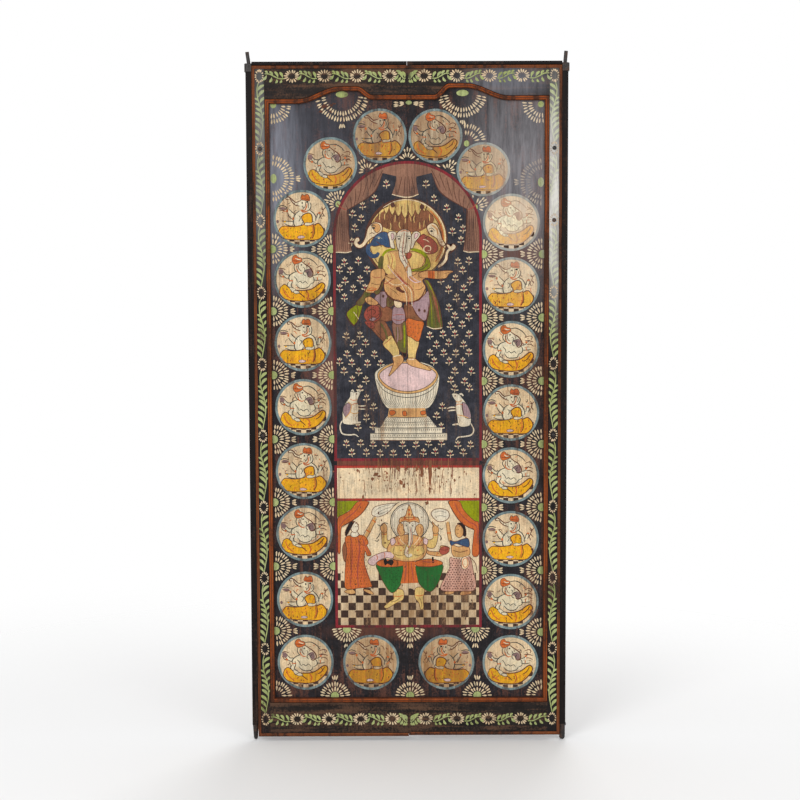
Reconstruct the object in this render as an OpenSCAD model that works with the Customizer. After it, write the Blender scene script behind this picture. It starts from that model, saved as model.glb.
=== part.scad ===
// Pair of painted door leaves that turn on iron pivots: plank panels with moulded
// borders and an ogee top rail, painted with a niche between rows of medallions.
// The front faces -Y, the leaves meet at x = 0, and z = 0 is at the lower foot's tip.

/* [Leaves] */
// Height of a leaf, from its bottom edge to the top of its capping strip
leaf_h = 2000; // [1950:5:2100]
// Width of the pair over both hinge posts
pair_w = 940; // [930:2:980]
// Gap between the two leaves where they meet
meeting_gap = 0.9; // [0.8:0.1:3]
// How far the left leaf's bottom edge hangs below the right one's
left_drop = 3; // [0:0.5:5]
// Thickness of the planks
plank_t = 22; // [18:0.5:26]
// Distance of the inner plank joint from the meeting line, on the left and on the right leaf
inner_joint = [79, 66]; // [50:1:110]
// Distance of the outer plank joint from the meeting line
outer_joint = 250; // [200:1:320]
// Chamfer along the planks' back edges
plank_chamfer = 2; // [0.5:0.25:4]

/* [Hinge posts] */
// Full width of a post, behind the border
post_w = 46; // [44:0.5:56]
// Width of the post's face that shows beside the border
post_face = 18; // [16:0.5:22]
// Radius along the post's two outer edges
post_round = 5; // [2:0.5:7]
// How far the post stands proud of the border boards
board_setback = 4; // [2:0.5:8]
// How far the post's top stays below the leaf's top
post_top_drop = 5; // [2:0.5:12]
// Height of the post's foot end above the leaf's bottom edge
post_foot_z = 34; // [28:1:44]

/* [Pivots] */
// Radius of the iron pin
pin_r = 5.2; // [4:0.1:6]
// Radial clearance of the pin in its bore
pin_clearance = 0.05; // [0.02:0.01:0.09]
// Depth of the pin's bore below the post's top
pin_depth = 60; // [40:1:90]
// Length of the pin that stands out of the post
pin_out = 34; // [20:1:50]
// Straight length of the pin above the post, below its bend
pin_straight = 3; // [2:0.5:8]
// How much thicker the pin's radius is above its bend
pin_upset = 0.3; // [0.3:0.05:0.5]
// Outward lean of the left and of the right pin above the bend, in degrees
pin_lean = [8, 5]; // [0:0.5:10]
// Distance of the pivot axis from the post's outer face
pin_inset = 9; // [8:0.25:10]
// Distance of the pivot axis behind the post's front face
pin_setback = 14; // [13.5:0.25:15]
// Thickness of the iron strap round the post's top
strap_t = 3; // [2:0.25:4]
// Height of the strap
strap_h = 23; // [16:1:30]
// Distance of the strap's upper edge below the post's top
strap_drop = 1; // [0:0.5:4]
// Drop of the right foot's tip below the leaf's bottom edge
foot_drop = 15; // [12:0.5:24]
// How much shorter the left foot is
left_foot_short = 3; // [0:0.5:6]
// Radius of the foot's neck
neck_r = 9; // [7:0.25:9]
// Radius of the right foot's turning end
foot_r = 8.5; // [6:0.25:8.5]
// Radius of the left foot's blunt tip
blunt_r = 4; // [2:0.25:6]
// Radius of the right foot's shoulder
shoulder_r = 12; // [10:0.25:12]
// Height of the right foot's shoulder
shoulder_h = 6; // [3:0.5:10]
// Radius of the foot's tang in the post
tang_r = 6; // [4:0.25:7]
// Length of the foot's tang
tang_l = 45; // [25:1:60]

/* [Border] */
// Width of the painted stile boards
stile_w = 36; // [30:0.5:44]
// Thickness of the border boards
board_t = 12; // [8:0.5:16]
// Height of the bottom rail, up to the inner bead
bottom_rail_h = 100; // [80:1:120]
// Height of the capping strip at the top
strip_h = 12; // [8:0.5:18]
// How far the capping strip stands proud of the border boards
strip_proud = 3; // [0.5:0.25:6]
// Width of the outer bead
outer_bead_w = 8; // [5:0.25:11]
// Height of the outer bead above the boards
outer_bead_h = 4; // [2:0.25:6]
// Distance of the outer bead from the leaf's bottom edge
outer_bead_up = 2; // [0:0.25:6]
// Width of the inner bead
inner_bead_w = 14; // [10:0.25:18]
// Height of the inner bead above the panel
inner_bead_h = 15; // [13:0.25:20]

/* [Ogee of the top rail] */
// Drop of the bead's middle below the leaf's top, at the meeting line
ogee_centre_drop = 103; // [95:1:120]
// Rise of the crest above the bead at the meeting line
ogee_rise = 29; // [15:1:34]
// Fall of the outer flat below the bead at the meeting line
ogee_fall = 7; // [0:0.5:14]
// How much higher crest and outer flat lie on the right leaf, and lower on the left
ogee_tilt = 4; // [0:0.5:5]
// Distance from the meeting line to the inner foot of the curve
ogee_foot = 90; // [60:1:110]
// Distance from the meeting line to the crest's start
ogee_crest = 136; // [125:1:150]
// Distance from the meeting line to the crest's end
ogee_brow = 182; // [170:1:210]
// Distance from the meeting line to the outer foot of the curve
ogee_end = 310; // [260:1:340]
// How much further out the curve lies on the left leaf, and further in on the right
ogee_shift = 11; // [0:0.5:14]

/* [Battens and nails] */
// Height of a batten on the back
batten_h = 90; // [60:1:110]
// Thickness of a batten
batten_t = 28; // [22:0.5:34]
// Chamfer along the batten's back edges
batten_chamfer = 6; // [2:0.5:10]
// Distance of a batten's end from the meeting line
batten_in = 28; // [12:1:60]
// Middle of the lowest batten above the leaf's bottom edge
batten_low = 68; // [60:1:140]
// Height of the batten's tenon
tenon_h = 60; // [30:1:70]
// Thickness of the tenon
tenon_t = 12; // [8:0.5:14]
// Length of the tenon in the post
tenon_l = 20; // [12:0.5:24]
// Clearance round a tenon or tang
joint_clearance = 0.1; // [0.05:0.01:0.25]
// Radius of a nail's head
nail_head_r = 6; // [4:0.25:8]
// Height of a nail's head
nail_head_h = 3; // [1.5:0.25:4]
// Radius of a nail's shank
nail_r = 2; // [1:0.1:2.5]
// Length of a nail's shank
nail_l = 10; // [6:0.25:12]
// Radius of a strap nail's head
strap_nail_r = 4; // [3:0.25:5]
// Height of a strap nail's head
strap_nail_h = 1.2; // [0.6:0.1:2]
// Length of a strap nail's shank
strap_nail_l = 8; // [6:0.25:9]
// Room past a nail's end in its hole
nail_room = 1; // [0.2:0.1:1.5]

/* [Painted panel] */
// Thickness of one coat of paint
coat_t = 0.4; // [0.2:0.05:0.6]
// Width of the niche, over its red border
niche_w = 438; // [400:2:450]
// Height of the arch's top above the bottom edge
niche_top = 1713; // [1700:1:1730]
// Width of the red lines
red_w = 8; // [5:0.5:10]
// Height of the niche's lower line above the bottom edge
niche_foot = 829; // [800:1:860]
// Height of the cream band's upper edge
band_top = 808; // [780:1:815]
// Height of the cream band's lower edge
band_foot = 717; // [690:1:740]
// Height of the lower picture's bottom edge
scene_foot = 334; // [320:1:345]
// Side of a floor square
check_w = 22.5; // [18:0.5:28]
// Rows of floor squares across the whole picture
check_rows = 5; // [3:1:5]
// Rows of floor squares that show only beside the seated group
side_check_rows = 2; // [0:1:3]
// Gap between two dark floor squares at their corners
check_gap = 0.3; // [0.2:0.1:1]
// Room beside a medallion in its column, on either side
medallion_room = 7.5; // [6:0.5:14]
// Largest share of the columns' pitch that a medallion takes
medallion_share = 0.9; // [0.7:0.01:0.92]
// Radius of the four medallions round the arch
arch_medallion_r = 79; // [70:0.5:79]
// Width of a medallion's ring
ring_w = 7; // [4:0.5:10]
// Height of the columns' lowest medallion above the bottom edge
medallion_low = 219; // [210:1:225]
// Room above and below the two lower medallions
lower_room = 22; // [18:0.5:30]
// Height of the columns' highest medallion above the bottom edge
medallion_high = 1540; // [1525:1:1550]
// Distance of the columns inward from the middle of their strip, on the left and on the right leaf
column_in = [1, 5]; // [0:0.5:6]
// Distance of the two lower medallions from the meeting line
lower_medallion_x = 113; // [100:1:120]
// Radius of a green bud
bud_r = 12; // [8:0.5:15]
// Distance of a bud's middle from the edge that it grows from
bud_in = 4; // [0:0.5:8]
// Width of the curtain under the arch
curtain_w = 48; // [30:1:60]
// Height of the swag's lower edge above the arch's springing
curtain_swag = 96; // [60:1:130]
// Drop of the curtain's tail below the springing
curtain_tail = 44; // [20:1:80]
// Radius of the standing figure's halo
halo_r = 118; // [100:1:125]
// Width of the halo's ring
halo_w = 16; // [8:1:24]
// Drop of the halo's middle below the arch's springing
halo_drop = 4; // [0:1:20]

/* [Vine border] */
// Height of the lowest flower above the bottom edge
flower_low = 50; // [46:1:60]
// Drop of the highest flower below the leaf's top
flower_high_drop = 42; // [38:1:46]
// Distance of the first rail flower from the meeting line
flower_first = 50; // [40:1:60]
// How far the flowers half way up lie above an even spacing
flower_bow = 8; // [0:0.5:12]
// Radius of a flower over its petals
flower_r = 13.5; // [10:0.25:13.5]
// Radius of a flower's dark middle
flower_eye_r = 7; // [6.5:0.25:9]

/* [Hidden] */
$fn = 48;
left = -1;
right = 1;
eps = 0.01;
flank_steps = 12;
stile_flowers = 10;
rail_flowers = 5;
half = pair_w / 2;
half_gap = meeting_gap / 2;
post_d = board_setback + board_t + plank_t + batten_t;
front_y = -post_d / 2;
board_y = front_y + board_setback;
panel_y = board_y + board_t;
batten_y = panel_y + plank_t;
post_in = half - post_w;
post_face_in = half - post_face;
stile_in = post_face_in - stile_w;
panel_half = stile_in - inner_bead_w;
pin_x = half - pin_inset;
pin_y = front_y + pin_setback;
post_top = leaf_h - post_top_drop;
strip_foot = leaf_h - strip_h;
vine_x = (stile_in + post_face_in - outer_bead_w) / 2;
middle_nail = 4;
extra_nail = 7;
high_nail = 8;
batten_z = [batten_low, flower_z(middle_nail), flower_z(high_nail)];
strap_nail_z = post_top - strap_drop - strap_h / 3;

// Painted layout: niche, columns of medallions and the buds between them,
// as drawn for one panel, from which it stretches with the real one
drawn_half = 402;
drawn_foot = 114;
drawn_panel_h = 1783;
drawn_niche_w = 438;
panel_foot = bottom_rail_h + inner_bead_w;
wide = panel_half / drawn_half;
tall = (leaf_h - ogee_centre_drop - panel_foot) / drawn_panel_h;
niche_stretch = niche_w / drawn_niche_w;
niche_r = niche_w / 2;
drawn_top = drawn_foot + drawn_panel_h;
arch_z = niche_top - niche_r;
column_x = (niche_r + drawn_half) / 2;
column_count = 8;
column_pitch = (medallion_high - medallion_low) / (column_count - 1);
medallion_r = min((drawn_half - niche_r) / 2 - medallion_room, column_pitch * medallion_share / 2);
lower_half = (scene_foot - red_w - drawn_foot) / 2;
lower_r = min(medallion_r, lower_half - lower_room);
left_wander = [2, 5, 16, 14, 16, 18, 17, 6];
right_wander = [-1, -4, -3, -1, -2, -3, -4, -7];
arch_medallions_left = [[-47, 9.8], [-15.3, 4.8]];
arch_medallions_right = [[15.9, 4.6], [49, -2.4]];
rail_buds = [[-222, 1], [4, 1], [206, 1], [-185, -1], [4, -1], [200, -1]];

wood_dark = [0.16, 0.13, 0.12];
wood_back = [0.33, 0.22, 0.15];
lacquer = [0.18, 0.17, 0.19];
bead_orange = [0.6, 0.31, 0.13];
iron = [0.2, 0.19, 0.18];
cream = [0.87, 0.78, 0.65];
red = [0.6, 0.19, 0.2];
ring_grey = [0.55, 0.64, 0.64];
ochre = [0.87, 0.65, 0.17];
green = [0.63, 0.71, 0.44];
curtain_brown = [0.45, 0.3, 0.24];
night = [0.16, 0.17, 0.21];

// Height of flower i of the stile, counted from the bottom
function flower_z(i) =
    let (t = i / (stile_flowers - 1), high = leaf_h - flower_high_drop)
    flower_low + (high - flower_low) * t + flower_bow * sin(180 * t);
// Height of a leaf's bottom edge, measured from the right leaf's
function leaf_foot(side) = side < 0 ? -left_drop : 0;
// The left or the right one of a pair of values
function of_side(pair, side) = side < 0 ? pair[0] : pair[1];
// A rise from 0 to 1 that starts and ends level
function ease(t) = (1 - cos(180 * t)) / 2;
function unit(v) = v / norm(v);
function across(v) = [-v[1], v[0]];
// Direction across a path at its point i, lengthened at a corner so that the edges stay parallel
function mitre(path, i) =
    let (
        before = path[max(i - 1, 0)],
        after = path[min(i + 1, len(path) - 1)],
        into = i > 0 ? across(unit(path[i] - before)) : across(unit(after - path[i])),
        out = i < len(path) - 1 ? across(unit(after - path[i])) : into
    )
    (into + out) / (1 + into * out);
// A path moved sideways by a distance
function offset_path(path, d) = [for (i = [0 : len(path) - 1]) path[i] + d * mitre(path, i)];
// Point on a curve through b and c, with a and d as its neighbours
function curve_point(a, b, c, d, t) =
    0.5 * (2 * b + (c - a) * t + (2 * a - 5 * b + 4 * c - d) * t * t + (3 * b - a - 3 * c + d) * t * t * t);
// Closed smooth outline through a few points
function smooth_loop(p, steps = 4) =
    let (n = len(p))
    [for (i = [0 : n - 1], k = [0 : steps - 1])
        curve_point(p[(i + n - 1) % n], p[i], p[(i + 1) % n], p[(i + 2) % n], k / steps)];

// The ogee on one leaf, from the meeting line to the side: flat, steep flank, crest, gentle flank, flat
function ogee_path(side, far_x) =
    let (
        z_centre = leaf_h - ogee_centre_drop,
        z_crest = z_centre + ogee_rise + side * ogee_tilt,
        z_flat = z_centre - ogee_fall + side * ogee_tilt,
        out = -side * ogee_shift,
        x_foot = ogee_foot + out,
        x_crest = ogee_crest + out,
        x_brow = ogee_brow + out,
        x_end = ogee_end + out
    )
    concat(
        [[half_gap, z_centre]],
        [for (k = [0 : flank_steps]) let (t = k / flank_steps)
            [x_foot + (x_crest - x_foot) * t, z_centre + (z_crest - z_centre) * ease(t)]],
        [for (k = [0 : flank_steps]) let (t = k / flank_steps)
            [x_brow + (x_end - x_brow) * t, z_crest + (z_flat - z_crest) * ease(t)]],
        [[far_x, z_flat]]
    );
// Middle line of the inner bead: along the ogee, down the side and back along the bottom rail
function inner_bead_path(side) =
    let (side_x = stile_in - inner_bead_w / 2, z_low = bottom_rail_h + inner_bead_w / 2)
    concat(ogee_path(side, side_x), [[side_x, z_low], [half_gap, z_low]]);
// Middle line of the outer bead: under the capping strip, down beside the post and along the bottom edge
function outer_bead_path(side) =
    let (
        side_x = post_face_in - outer_bead_w / 2,
        z_high = strip_foot - outer_bead_w / 2,
        z_low = leaf_foot(side) + outer_bead_up + outer_bead_w / 2
    )
    [[half_gap, z_high], [side_x, z_high], [side_x, z_low], [half_gap, z_low]];

// Places of the medallions on one leaf, as [x, z, radius, pose]; pose 1 lifts a knee, pose 2 sits level.
// Those round the arch are given by their angle from its top and their distance from its edge.
function column(side) =
    [for (i = [0 : column_count - 1])
        let (
            pose = side < 0 ? 2 - i % 2 : (i == 0 ? 2 : 1 + i % 2),
            wander = of_side([left_wander, right_wander], side)[i]
        )
        [side * (column_x - of_side(column_in, side)), medallion_low + i * column_pitch + wander,
            medallion_r, pose]];
function medallions(side) =
    concat(
        column(side),
        [[side * lower_medallion_x, drawn_foot + lower_half, lower_r, side < 0 ? 1 : -1]],
        [for (k = [0 : 1])
            let (
                m = of_side([arch_medallions_left, arch_medallions_right], side)[k],
                far = niche_r + arch_medallion_r + m[1]
            )
            [far * sin(m[0]), arch_z + far * cos(m[0]), arch_medallion_r, 2 - k]]
    );

// Yellow lower garment round a medallion's middle, with one knee raised or sitting level
raised_knee = [[-71, -41], [-52, -59], [12, -63], [50, -60], [65, -36], [50, -15], [33, -18], [29, 10],
    [14, 15], [-1, 4], [5, -16], [-28, -23], [-58, -22]];
level_seat = [[-64, -22], [-67, -43], [-43, -60], [15, -64], [46, -50], [66, -22], [56, -9], [27, -28],
    [-3, -33], [-33, -28], [-52, -15]];

// Figures in the two pictures, as outlines from the meeting line and the picture's own foot
torso = [[0, 735], [-52, 710], [-62, 650], [-76, 580], [-62, 522], [-40, 482], [0, 470], [42, 482],
    [62, 522], [74, 580], [62, 650], [48, 710]];
trousers = [[-128, 462], [-60, 484], [0, 478], [60, 484], [62, 445], [44, 400], [20, 320], [8, 298],
    [-4, 330], [-22, 306], [-45, 320], [-70, 370], [-116, 415]];
left_scarf = [[-178, 432], [-150, 466], [-122, 498], [-110, 486], [-128, 442], [-160, 400]];
right_scarf = [[62, 552], [80, 500], [100, 410], [82, 390], [60, 398], [68, 470]];
left_arm = [[-62, 610], [-104, 570], [-112, 542], [-96, 522], [-100, 488], [-128, 480], [-112, 466],
    [-76, 488], [-64, 542]];
right_arm = [[60, 600], [92, 560], [120, 566], [118, 546], [84, 540], [58, 550]];
bowl = [[-98, 232], [-88, 268], [-52, 292], [0, 299], [50, 292], [82, 268], [91, 232], [76, 182],
    [48, 156], [-54, 156], [-84, 182]];
plinth = [[-54, 160], [48, 160], [50, 132], [70, 125], [113, 66], [-108, 66], [-72, 125], [-56, 132]];
left_mouse = [[-168, 204], [-150, 208], [-142, 190], [-146, 155], [-130, 145], [-150, 135],
    [-138, 112], [-186, 110], [-194, 145], [-176, 178]];
right_mouse = [[130, 192], [146, 202], [162, 196], [170, 174], [188, 145], [182, 110], [140, 112],
    [146, 138], [120, 152], [142, 160]];
seated_body = [[0, 355], [-30, 333], [-46, 293], [-86, 263], [-94, 225], [-70, 195], [0, 185],
    [74, 195], [100, 225], [90, 263], [50, 293], [34, 333]];
skirt = [[-96, 187], [-40, 193], [4, 187], [48, 193], [100, 187], [94, 141], [66, 109], [34, 97],
    [4, 111], [-24, 95], [-60, 105], [-90, 139]];
left_dress = [[-188, 265], [-152, 271], [-126, 243], [-108, 157], [-116, 127], [-160, 121],
    [-192, 129], [-194, 195]];
right_dress = [[126, 257], [180, 257], [188, 205], [200, 117], [150, 105], [95, 111], [114, 175]];
left_drape = [[-211, 371], [-152, 371], [-128, 355], [-160, 317], [-198, 301], [-206, 225], [-211, 265]];
right_drape = [[120, 371], [207, 371], [207, 225], [198, 255], [192, 299], [150, 325]];

// Places a piece of one leaf: modelled on the right, mirrored for the left, with the feet's tip at z = 0
module on(side) {
    translate([0, 0, foot_drop])
        scale_side(side)
            children();
}

module scale_side(side) {
    if (side < 0) mirror([1, 0, 0]) children();
    else children();
}

// Extrudes a flat outline in x and z towards the front, from a given depth
module slab(y_back, depth) {
    translate([0, y_back, 0])
        rotate([90, 0, 0])
            linear_extrude(depth)
                children();
}

// Paint on the panel: the number of coats below it, and its own
module paint(base, coats = 1) {
    translate([0, 0, foot_drop + panel_foot])
        slab(panel_y - base * coat_t, coats * coat_t)
            scale([wide, tall])
                translate([0, -drawn_foot])
                    children();
}

// Keeps what lies on one leaf
module leaf_part(side) {
    intersection() {
        children();
        translate([side > 0 ? half_gap / wide : -drawn_half, 0])
            square([drawn_half - half_gap / wide, drawn_top]);
    }
}

// Moulding of rounded section along a path in x and z, seated on a face that looks to the front
module bead(path, width, height, seat_y) {
    half_section = [[0.5, 0], [0.5, 0.55], [0.34, 0.86], [0.12, 1]];
    section = concat([for (s = half_section) [-s[0], s[1]]], [for (k = [3 : -1 : 0]) half_section[k]]);
    n = len(section);
    last = len(path) - 1;
    points = [for (i = [0 : last]) let (m = mitre(path, i)) for (s = section)
        let (p = path[i] + width * s[0] * m) [p[0], seat_y - height * s[1], p[1]]];
    sides = [for (i = [0 : last - 1], k = [0 : n - 1])
        [i * n + k, i * n + (k + 1) % n, (i + 1) * n + (k + 1) % n, (i + 1) * n + k]];
    start = [[for (k = [n - 1 : -1 : 0]) k]];
    end = [[for (k = [0 : n - 1]) last * n + k]];
    polyhedron(points = points, faces = concat(sides, start, end), convexity = 6);
}

// Section of a hinge post from above, with its two outer edges rounded
module post_section(grow = 0) {
    x_in = post_in;
    x_out = half + grow;
    y_low = front_y - grow;
    depth = post_d + 2 * grow;
    r = post_round + grow;
    translate([x_in, y_low]) square([x_out - r - x_in, depth]);
    translate([x_out - r - eps, y_low + r]) square([r + eps, depth - 2 * r]);
    translate([x_out - r, y_low + r]) circle(r);
    translate([x_out - r, y_low + depth - r]) circle(r);
}

// Round nail along the y axis, with its head's seat at the given depth; facing is -1 for the front
module nail(x, seat_y, z, length, head_r, head_h, facing = -1) {
    translate([x, seat_y, z])
        rotate([facing < 0 ? 90 : -90, 0, 0])
            rotate_extrude()
                polygon([[0, -length], [nail_r, -length], [nail_r, 0], [head_r, 0], [head_r, head_h * 0.3],
                    [head_r * 0.8, head_h * 0.75], [head_r * 0.4, head_h], [0, head_h]]);
}

module nail_hole(x, seat_y, z, length, facing = -1) {
    translate([x, seat_y, z])
        rotate([facing < 0 ? -90 : 90, 0, 0])
            translate([0, 0, -1])
                cylinder(r = nail_r + pin_clearance, h = length + 1 + nail_room);
}

module hinge_post(side) {
    color(wood_dark)
        on(side)
            difference() {
                translate([0, 0, post_foot_z]) linear_extrude(post_top - post_foot_z) post_section();
                // Rebate for the stile board and its bead
                translate([post_in - 1, front_y - 1, 0])
                    cube([post_face_in - post_in + 1, panel_y - front_y + 1, leaf_h]);
                // Bore of the pivot pin
                translate([pin_x, pin_y, post_top - pin_depth])
                    cylinder(r = pin_r + pin_clearance, h = pin_depth + 1);
                // Bore of the foot's tang
                translate([pin_x, pin_y, post_foot_z - 1])
                    cylinder(r = tang_r + joint_clearance, h = tang_l + 1 + joint_clearance);
                // Mortises for the battens' tenons
                for (z = batten_z)
                    translate([post_in - 1, batten_y + (batten_t - tenon_t) / 2 - joint_clearance,
                            z - tenon_h / 2 - joint_clearance])
                        cube([tenon_l + 1 + joint_clearance, tenon_t + 2 * joint_clearance,
                            tenon_h + 2 * joint_clearance]);
                nail_hole(pin_x, front_y - strap_t, strap_nail_z, strap_nail_l, -1);
                nail_hole(pin_x, strap_t - front_y, strap_nail_z, strap_nail_l, 1);
            }
}

// Iron strap bent round the post's top
module post_strap(side) {
    color(iron)
        on(side)
            difference() {
                translate([0, 0, post_top - strap_drop - strap_h])
                    linear_extrude(strap_h)
                        difference() {
                            post_section(strap_t);
                            post_section();
                            translate([0, -half]) square([post_face_in + joint_clearance, pair_w]);
                        }
                nail_hole(pin_x, front_y - strap_t, strap_nail_z, strap_nail_l, -1);
                nail_hole(pin_x, strap_t - front_y, strap_nail_z, strap_nail_l, 1);
            }
}

// Loose iron pin, straight in the post, bent outwards and a little thicker above it
module top_pin(side) {
    lean = of_side(pin_lean, side);
    end_r = pin_r + pin_upset;
    lap = end_r * sin(lean) + 0.1;
    color(iron)
        on(side)
            translate([pin_x, pin_y, post_top + pin_straight]) {
                translate([0, 0, -pin_depth - pin_straight])
                    cylinder(r = pin_r, h = pin_depth + pin_straight + lap);
                rotate([0, lean, 0]) cylinder(r = end_r, h = pin_out - pin_straight);
            }
}

// Iron-shod foot on the pivot axis: the left one a blunt taper, the right one shouldered with a round tip
module pivot_foot(side) {
    tip = side < 0 ? -foot_drop + left_foot_short : -foot_drop;
    free_top = leaf_foot(side) - 1;
    round_h = foot_r * 0.75;
    tang_top = post_foot_z + tang_l;
    tapered = [[0, tip], [blunt_r, tip], [blunt_r + 2, tip + 3], [neck_r, post_foot_z], [tang_r, post_foot_z],
        [tang_r, tang_top], [0, tang_top]];
    tip_arc = [for (k = [0 : 6]) [foot_r * sin(15 * k), tip + round_h * (1 - cos(15 * k))]];
    shouldered = concat(tip_arc, [[foot_r, free_top], [neck_r, free_top], [neck_r, post_foot_z - shoulder_h],
        [shoulder_r, post_foot_z - shoulder_h], [shoulder_r, post_foot_z], [tang_r, post_foot_z],
        [tang_r, tang_top], [0, tang_top]]);
    color(iron)
        on(side)
            difference() {
                translate([pin_x, pin_y, 0]) rotate_extrude() polygon(side < 0 ? tapered : shouldered);
                // Flat where the shoulder lies beside the border
                translate([0, -half, post_foot_z - shoulder_h - 1])
                    cube([post_face_in + joint_clearance, pair_w, shoulder_h + 1]);
            }
}

// One plank, with its back edges chamfered
module plank(side, x_from, x_to) {
    c = plank_chamfer;
    y_back = panel_y + plank_t;
    color(wood_back)
        on(side)
            translate([0, 0, leaf_foot(side)])
                linear_extrude(strip_foot - leaf_foot(side))
                    polygon([[x_from, panel_y], [x_to, panel_y], [x_to, y_back - c], [x_to - c, y_back],
                        [x_from + c, y_back], [x_from, y_back - c]]);
}

// Batten across the back, tenoned into the post and chamfered along its edges
module batten(side, z) {
    c = batten_chamfer;
    y_back = batten_y + batten_t;
    up = batten_h / 2;
    color(wood_back)
        on(side) {
            translate([batten_in, 0, z])
                rotate([90, 0, 90])
                    linear_extrude(post_in - batten_in)
                        polygon([[batten_y, -up], [y_back - c, -up], [y_back, c - up],
                            [y_back, up - c], [y_back - c, up], [batten_y, up]]);
            translate([post_in - 1, batten_y + (batten_t - tenon_t) / 2, z - tenon_h / 2])
                cube([tenon_l + 1, tenon_t, tenon_h]);
        }
}

// Heights of the nails in the stile board
function stile_nails(side) =
    [for (i = side > 0 ? [middle_nail, extra_nail, high_nail] : [middle_nail, high_nail]) flower_z(i)];

module stile_board(side) {
    color(lacquer)
        on(side)
            difference() {
                translate([stile_in, board_y, leaf_foot(side)])
                    cube([stile_w, board_t, strip_foot - leaf_foot(side)]);
                for (z = stile_nails(side)) nail_hole(vine_x, board_y, z, nail_l);
            }
}

// Top rail, its lower edge cut to the ogee that the inner bead follows
module top_rail(side) {
    edge = offset_path(inner_bead_path(side), inner_bead_w / 2);
    ogee_points = [for (i = [0 : 2 * flank_steps + 2]) edge[i]];
    far_z = edge[2 * flank_steps + 3][1];
    corners = [[stile_in, far_z], [stile_in, strip_foot], [half_gap, strip_foot]];
    color(lacquer)
        on(side)
            slab(panel_y, board_t)
                polygon(concat(ogee_points, corners));
}

module bottom_rail(side) {
    color(lacquer)
        on(side)
            translate([half_gap, board_y, leaf_foot(side)])
                cube([stile_in - half_gap, board_t, bottom_rail_h - leaf_foot(side)]);
}

// Strip over the top ends of the planks and boards, with its front edges eased, notched round the post
module capping_strip(side) {
    ease_r = strip_h / 4;
    y_front = board_y - strip_proud;
    section = [[y_front, ease_r], [y_front + ease_r, 0], [batten_y, 0], [batten_y, strip_h],
        [y_front + ease_r, strip_h], [y_front, strip_h - ease_r]];
    color(wood_dark)
        on(side)
            difference() {
                translate([half_gap, 0, strip_foot])
                    rotate([90, 0, 90])
                        linear_extrude(post_face_in - half_gap)
                            polygon(section);
                translate([post_in - joint_clearance, panel_y - joint_clearance, strip_foot - 1])
                    cube([post_w, post_d, strip_h + 2]);
            }
}

// One flower of the vine: a round of petals about a dark middle
module flower() {
    petals = 12;
    mean_r = (flower_r + flower_eye_r) / 2;
    swing = (flower_r - flower_eye_r) / 4;
    difference() {
        polygon([for (a = [0 : 5 : 355]) (mean_r + swing + swing * cos(petals * a)) * [cos(a), sin(a)]]);
        circle(flower_eye_r);
    }
}

// Flowers along the stile, the top rail and the bottom rail
module vine_flowers(side) {
    rail_pitch = (vine_x - flower_first) / (rail_flowers - 1);
    color(cream)
        on(side)
            slab(board_y, coat_t) {
                for (i = [0 : stile_flowers - 1]) translate([vine_x, flower_z(i)]) flower();
                for (i = [0 : rail_flowers - 2], end = [0, stile_flowers - 1])
                    translate([flower_first + rail_pitch * i, flower_z(end)]) flower();
            }
}

module outer_bead(side) {
    color(bead_orange)
        on(side)
            bead(outer_bead_path(side), outer_bead_w, outer_bead_h, board_y);
}

module inner_bead(side) {
    color(bead_orange)
        on(side)
            bead(inner_bead_path(side), inner_bead_w, inner_bead_h, panel_y);
}

// Nails in the stile board and in the strap
module nails(side) {
    color(iron)
        on(side) {
            for (z = stile_nails(side)) nail(vine_x, board_y, z, nail_l, nail_head_r, nail_head_h);
            nail(pin_x, front_y - strap_t, strap_nail_z, strap_nail_l, strap_nail_r, strap_nail_h, -1);
            nail(pin_x, strap_t - front_y, strap_nail_z, strap_nail_l, strap_nail_r, strap_nail_h, 1);
        }
}

// Round-headed outline of the niche, inset from its red border's outer edge
module niche_outline(inset) {
    r = niche_r - inset;
    foot = niche_foot + inset;
    translate([0, arch_z]) circle(r, $fn = 96);
    translate([-r, foot]) square([2 * r, arch_z - foot]);
}

module medallion_discs(side, grow = 0) {
    for (m = medallions(side)) translate([m[0], m[1]]) circle(m[2] + grow);
}

module niche_ground(side) {
    color(night)
        paint(0)
            leaf_part(side)
                niche_outline(red_w);
}

// Red lines: round the niche, above and below the cream band and round the lower picture
module niche_border(side) {
    color(red)
        paint(0)
            leaf_part(side) {
                difference() {
                    niche_outline(0);
                    niche_outline(red_w);
                    medallion_discs(side, coat_t);
                }
                difference() {
                    translate([-niche_r, scene_foot - red_w])
                        square([niche_w, band_top + red_w - scene_foot + red_w]);
                    picture_fields();
                }
            }
}

// The cream band and the lower picture's ground
module picture_fields() {
    inner_w = niche_w - 2 * red_w;
    translate([-inner_w / 2, band_foot]) square([inner_w, band_top - band_foot]);
    translate([-inner_w / 2, scene_foot]) square([inner_w, band_foot - red_w - scene_foot]);
}

// Curtain swagged under the arch, with its tail hanging at the side
module niche_curtain(side) {
    r = niche_r - red_w;
    swag_z = arch_z + curtain_swag;
    tail_z = arch_z - curtain_tail;
    color(curtain_brown)
        paint(1)
            leaf_part(side) {
                difference() {
                    translate([0, arch_z]) circle(r - eps, $fn = 96);
                    translate([0, arch_z]) circle(r - curtain_w, $fn = 96);
                    translate([-r, 0]) square([2 * r, swag_z]);
                }
                difference() {
                    translate([side > 0 ? r - curtain_w : -r, tail_z])
                        square([curtain_w, swag_z + eps - tail_z]);
                    difference() {
                        translate([-2 * r, arch_z]) square([4 * r, 2 * r]);
                        translate([0, arch_z]) circle(r - eps, $fn = 96);
                    }
                }
            }
}

module cream_fields(side) {
    color(cream)
        paint(0)
            leaf_part(side)
                picture_fields();
}

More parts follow.
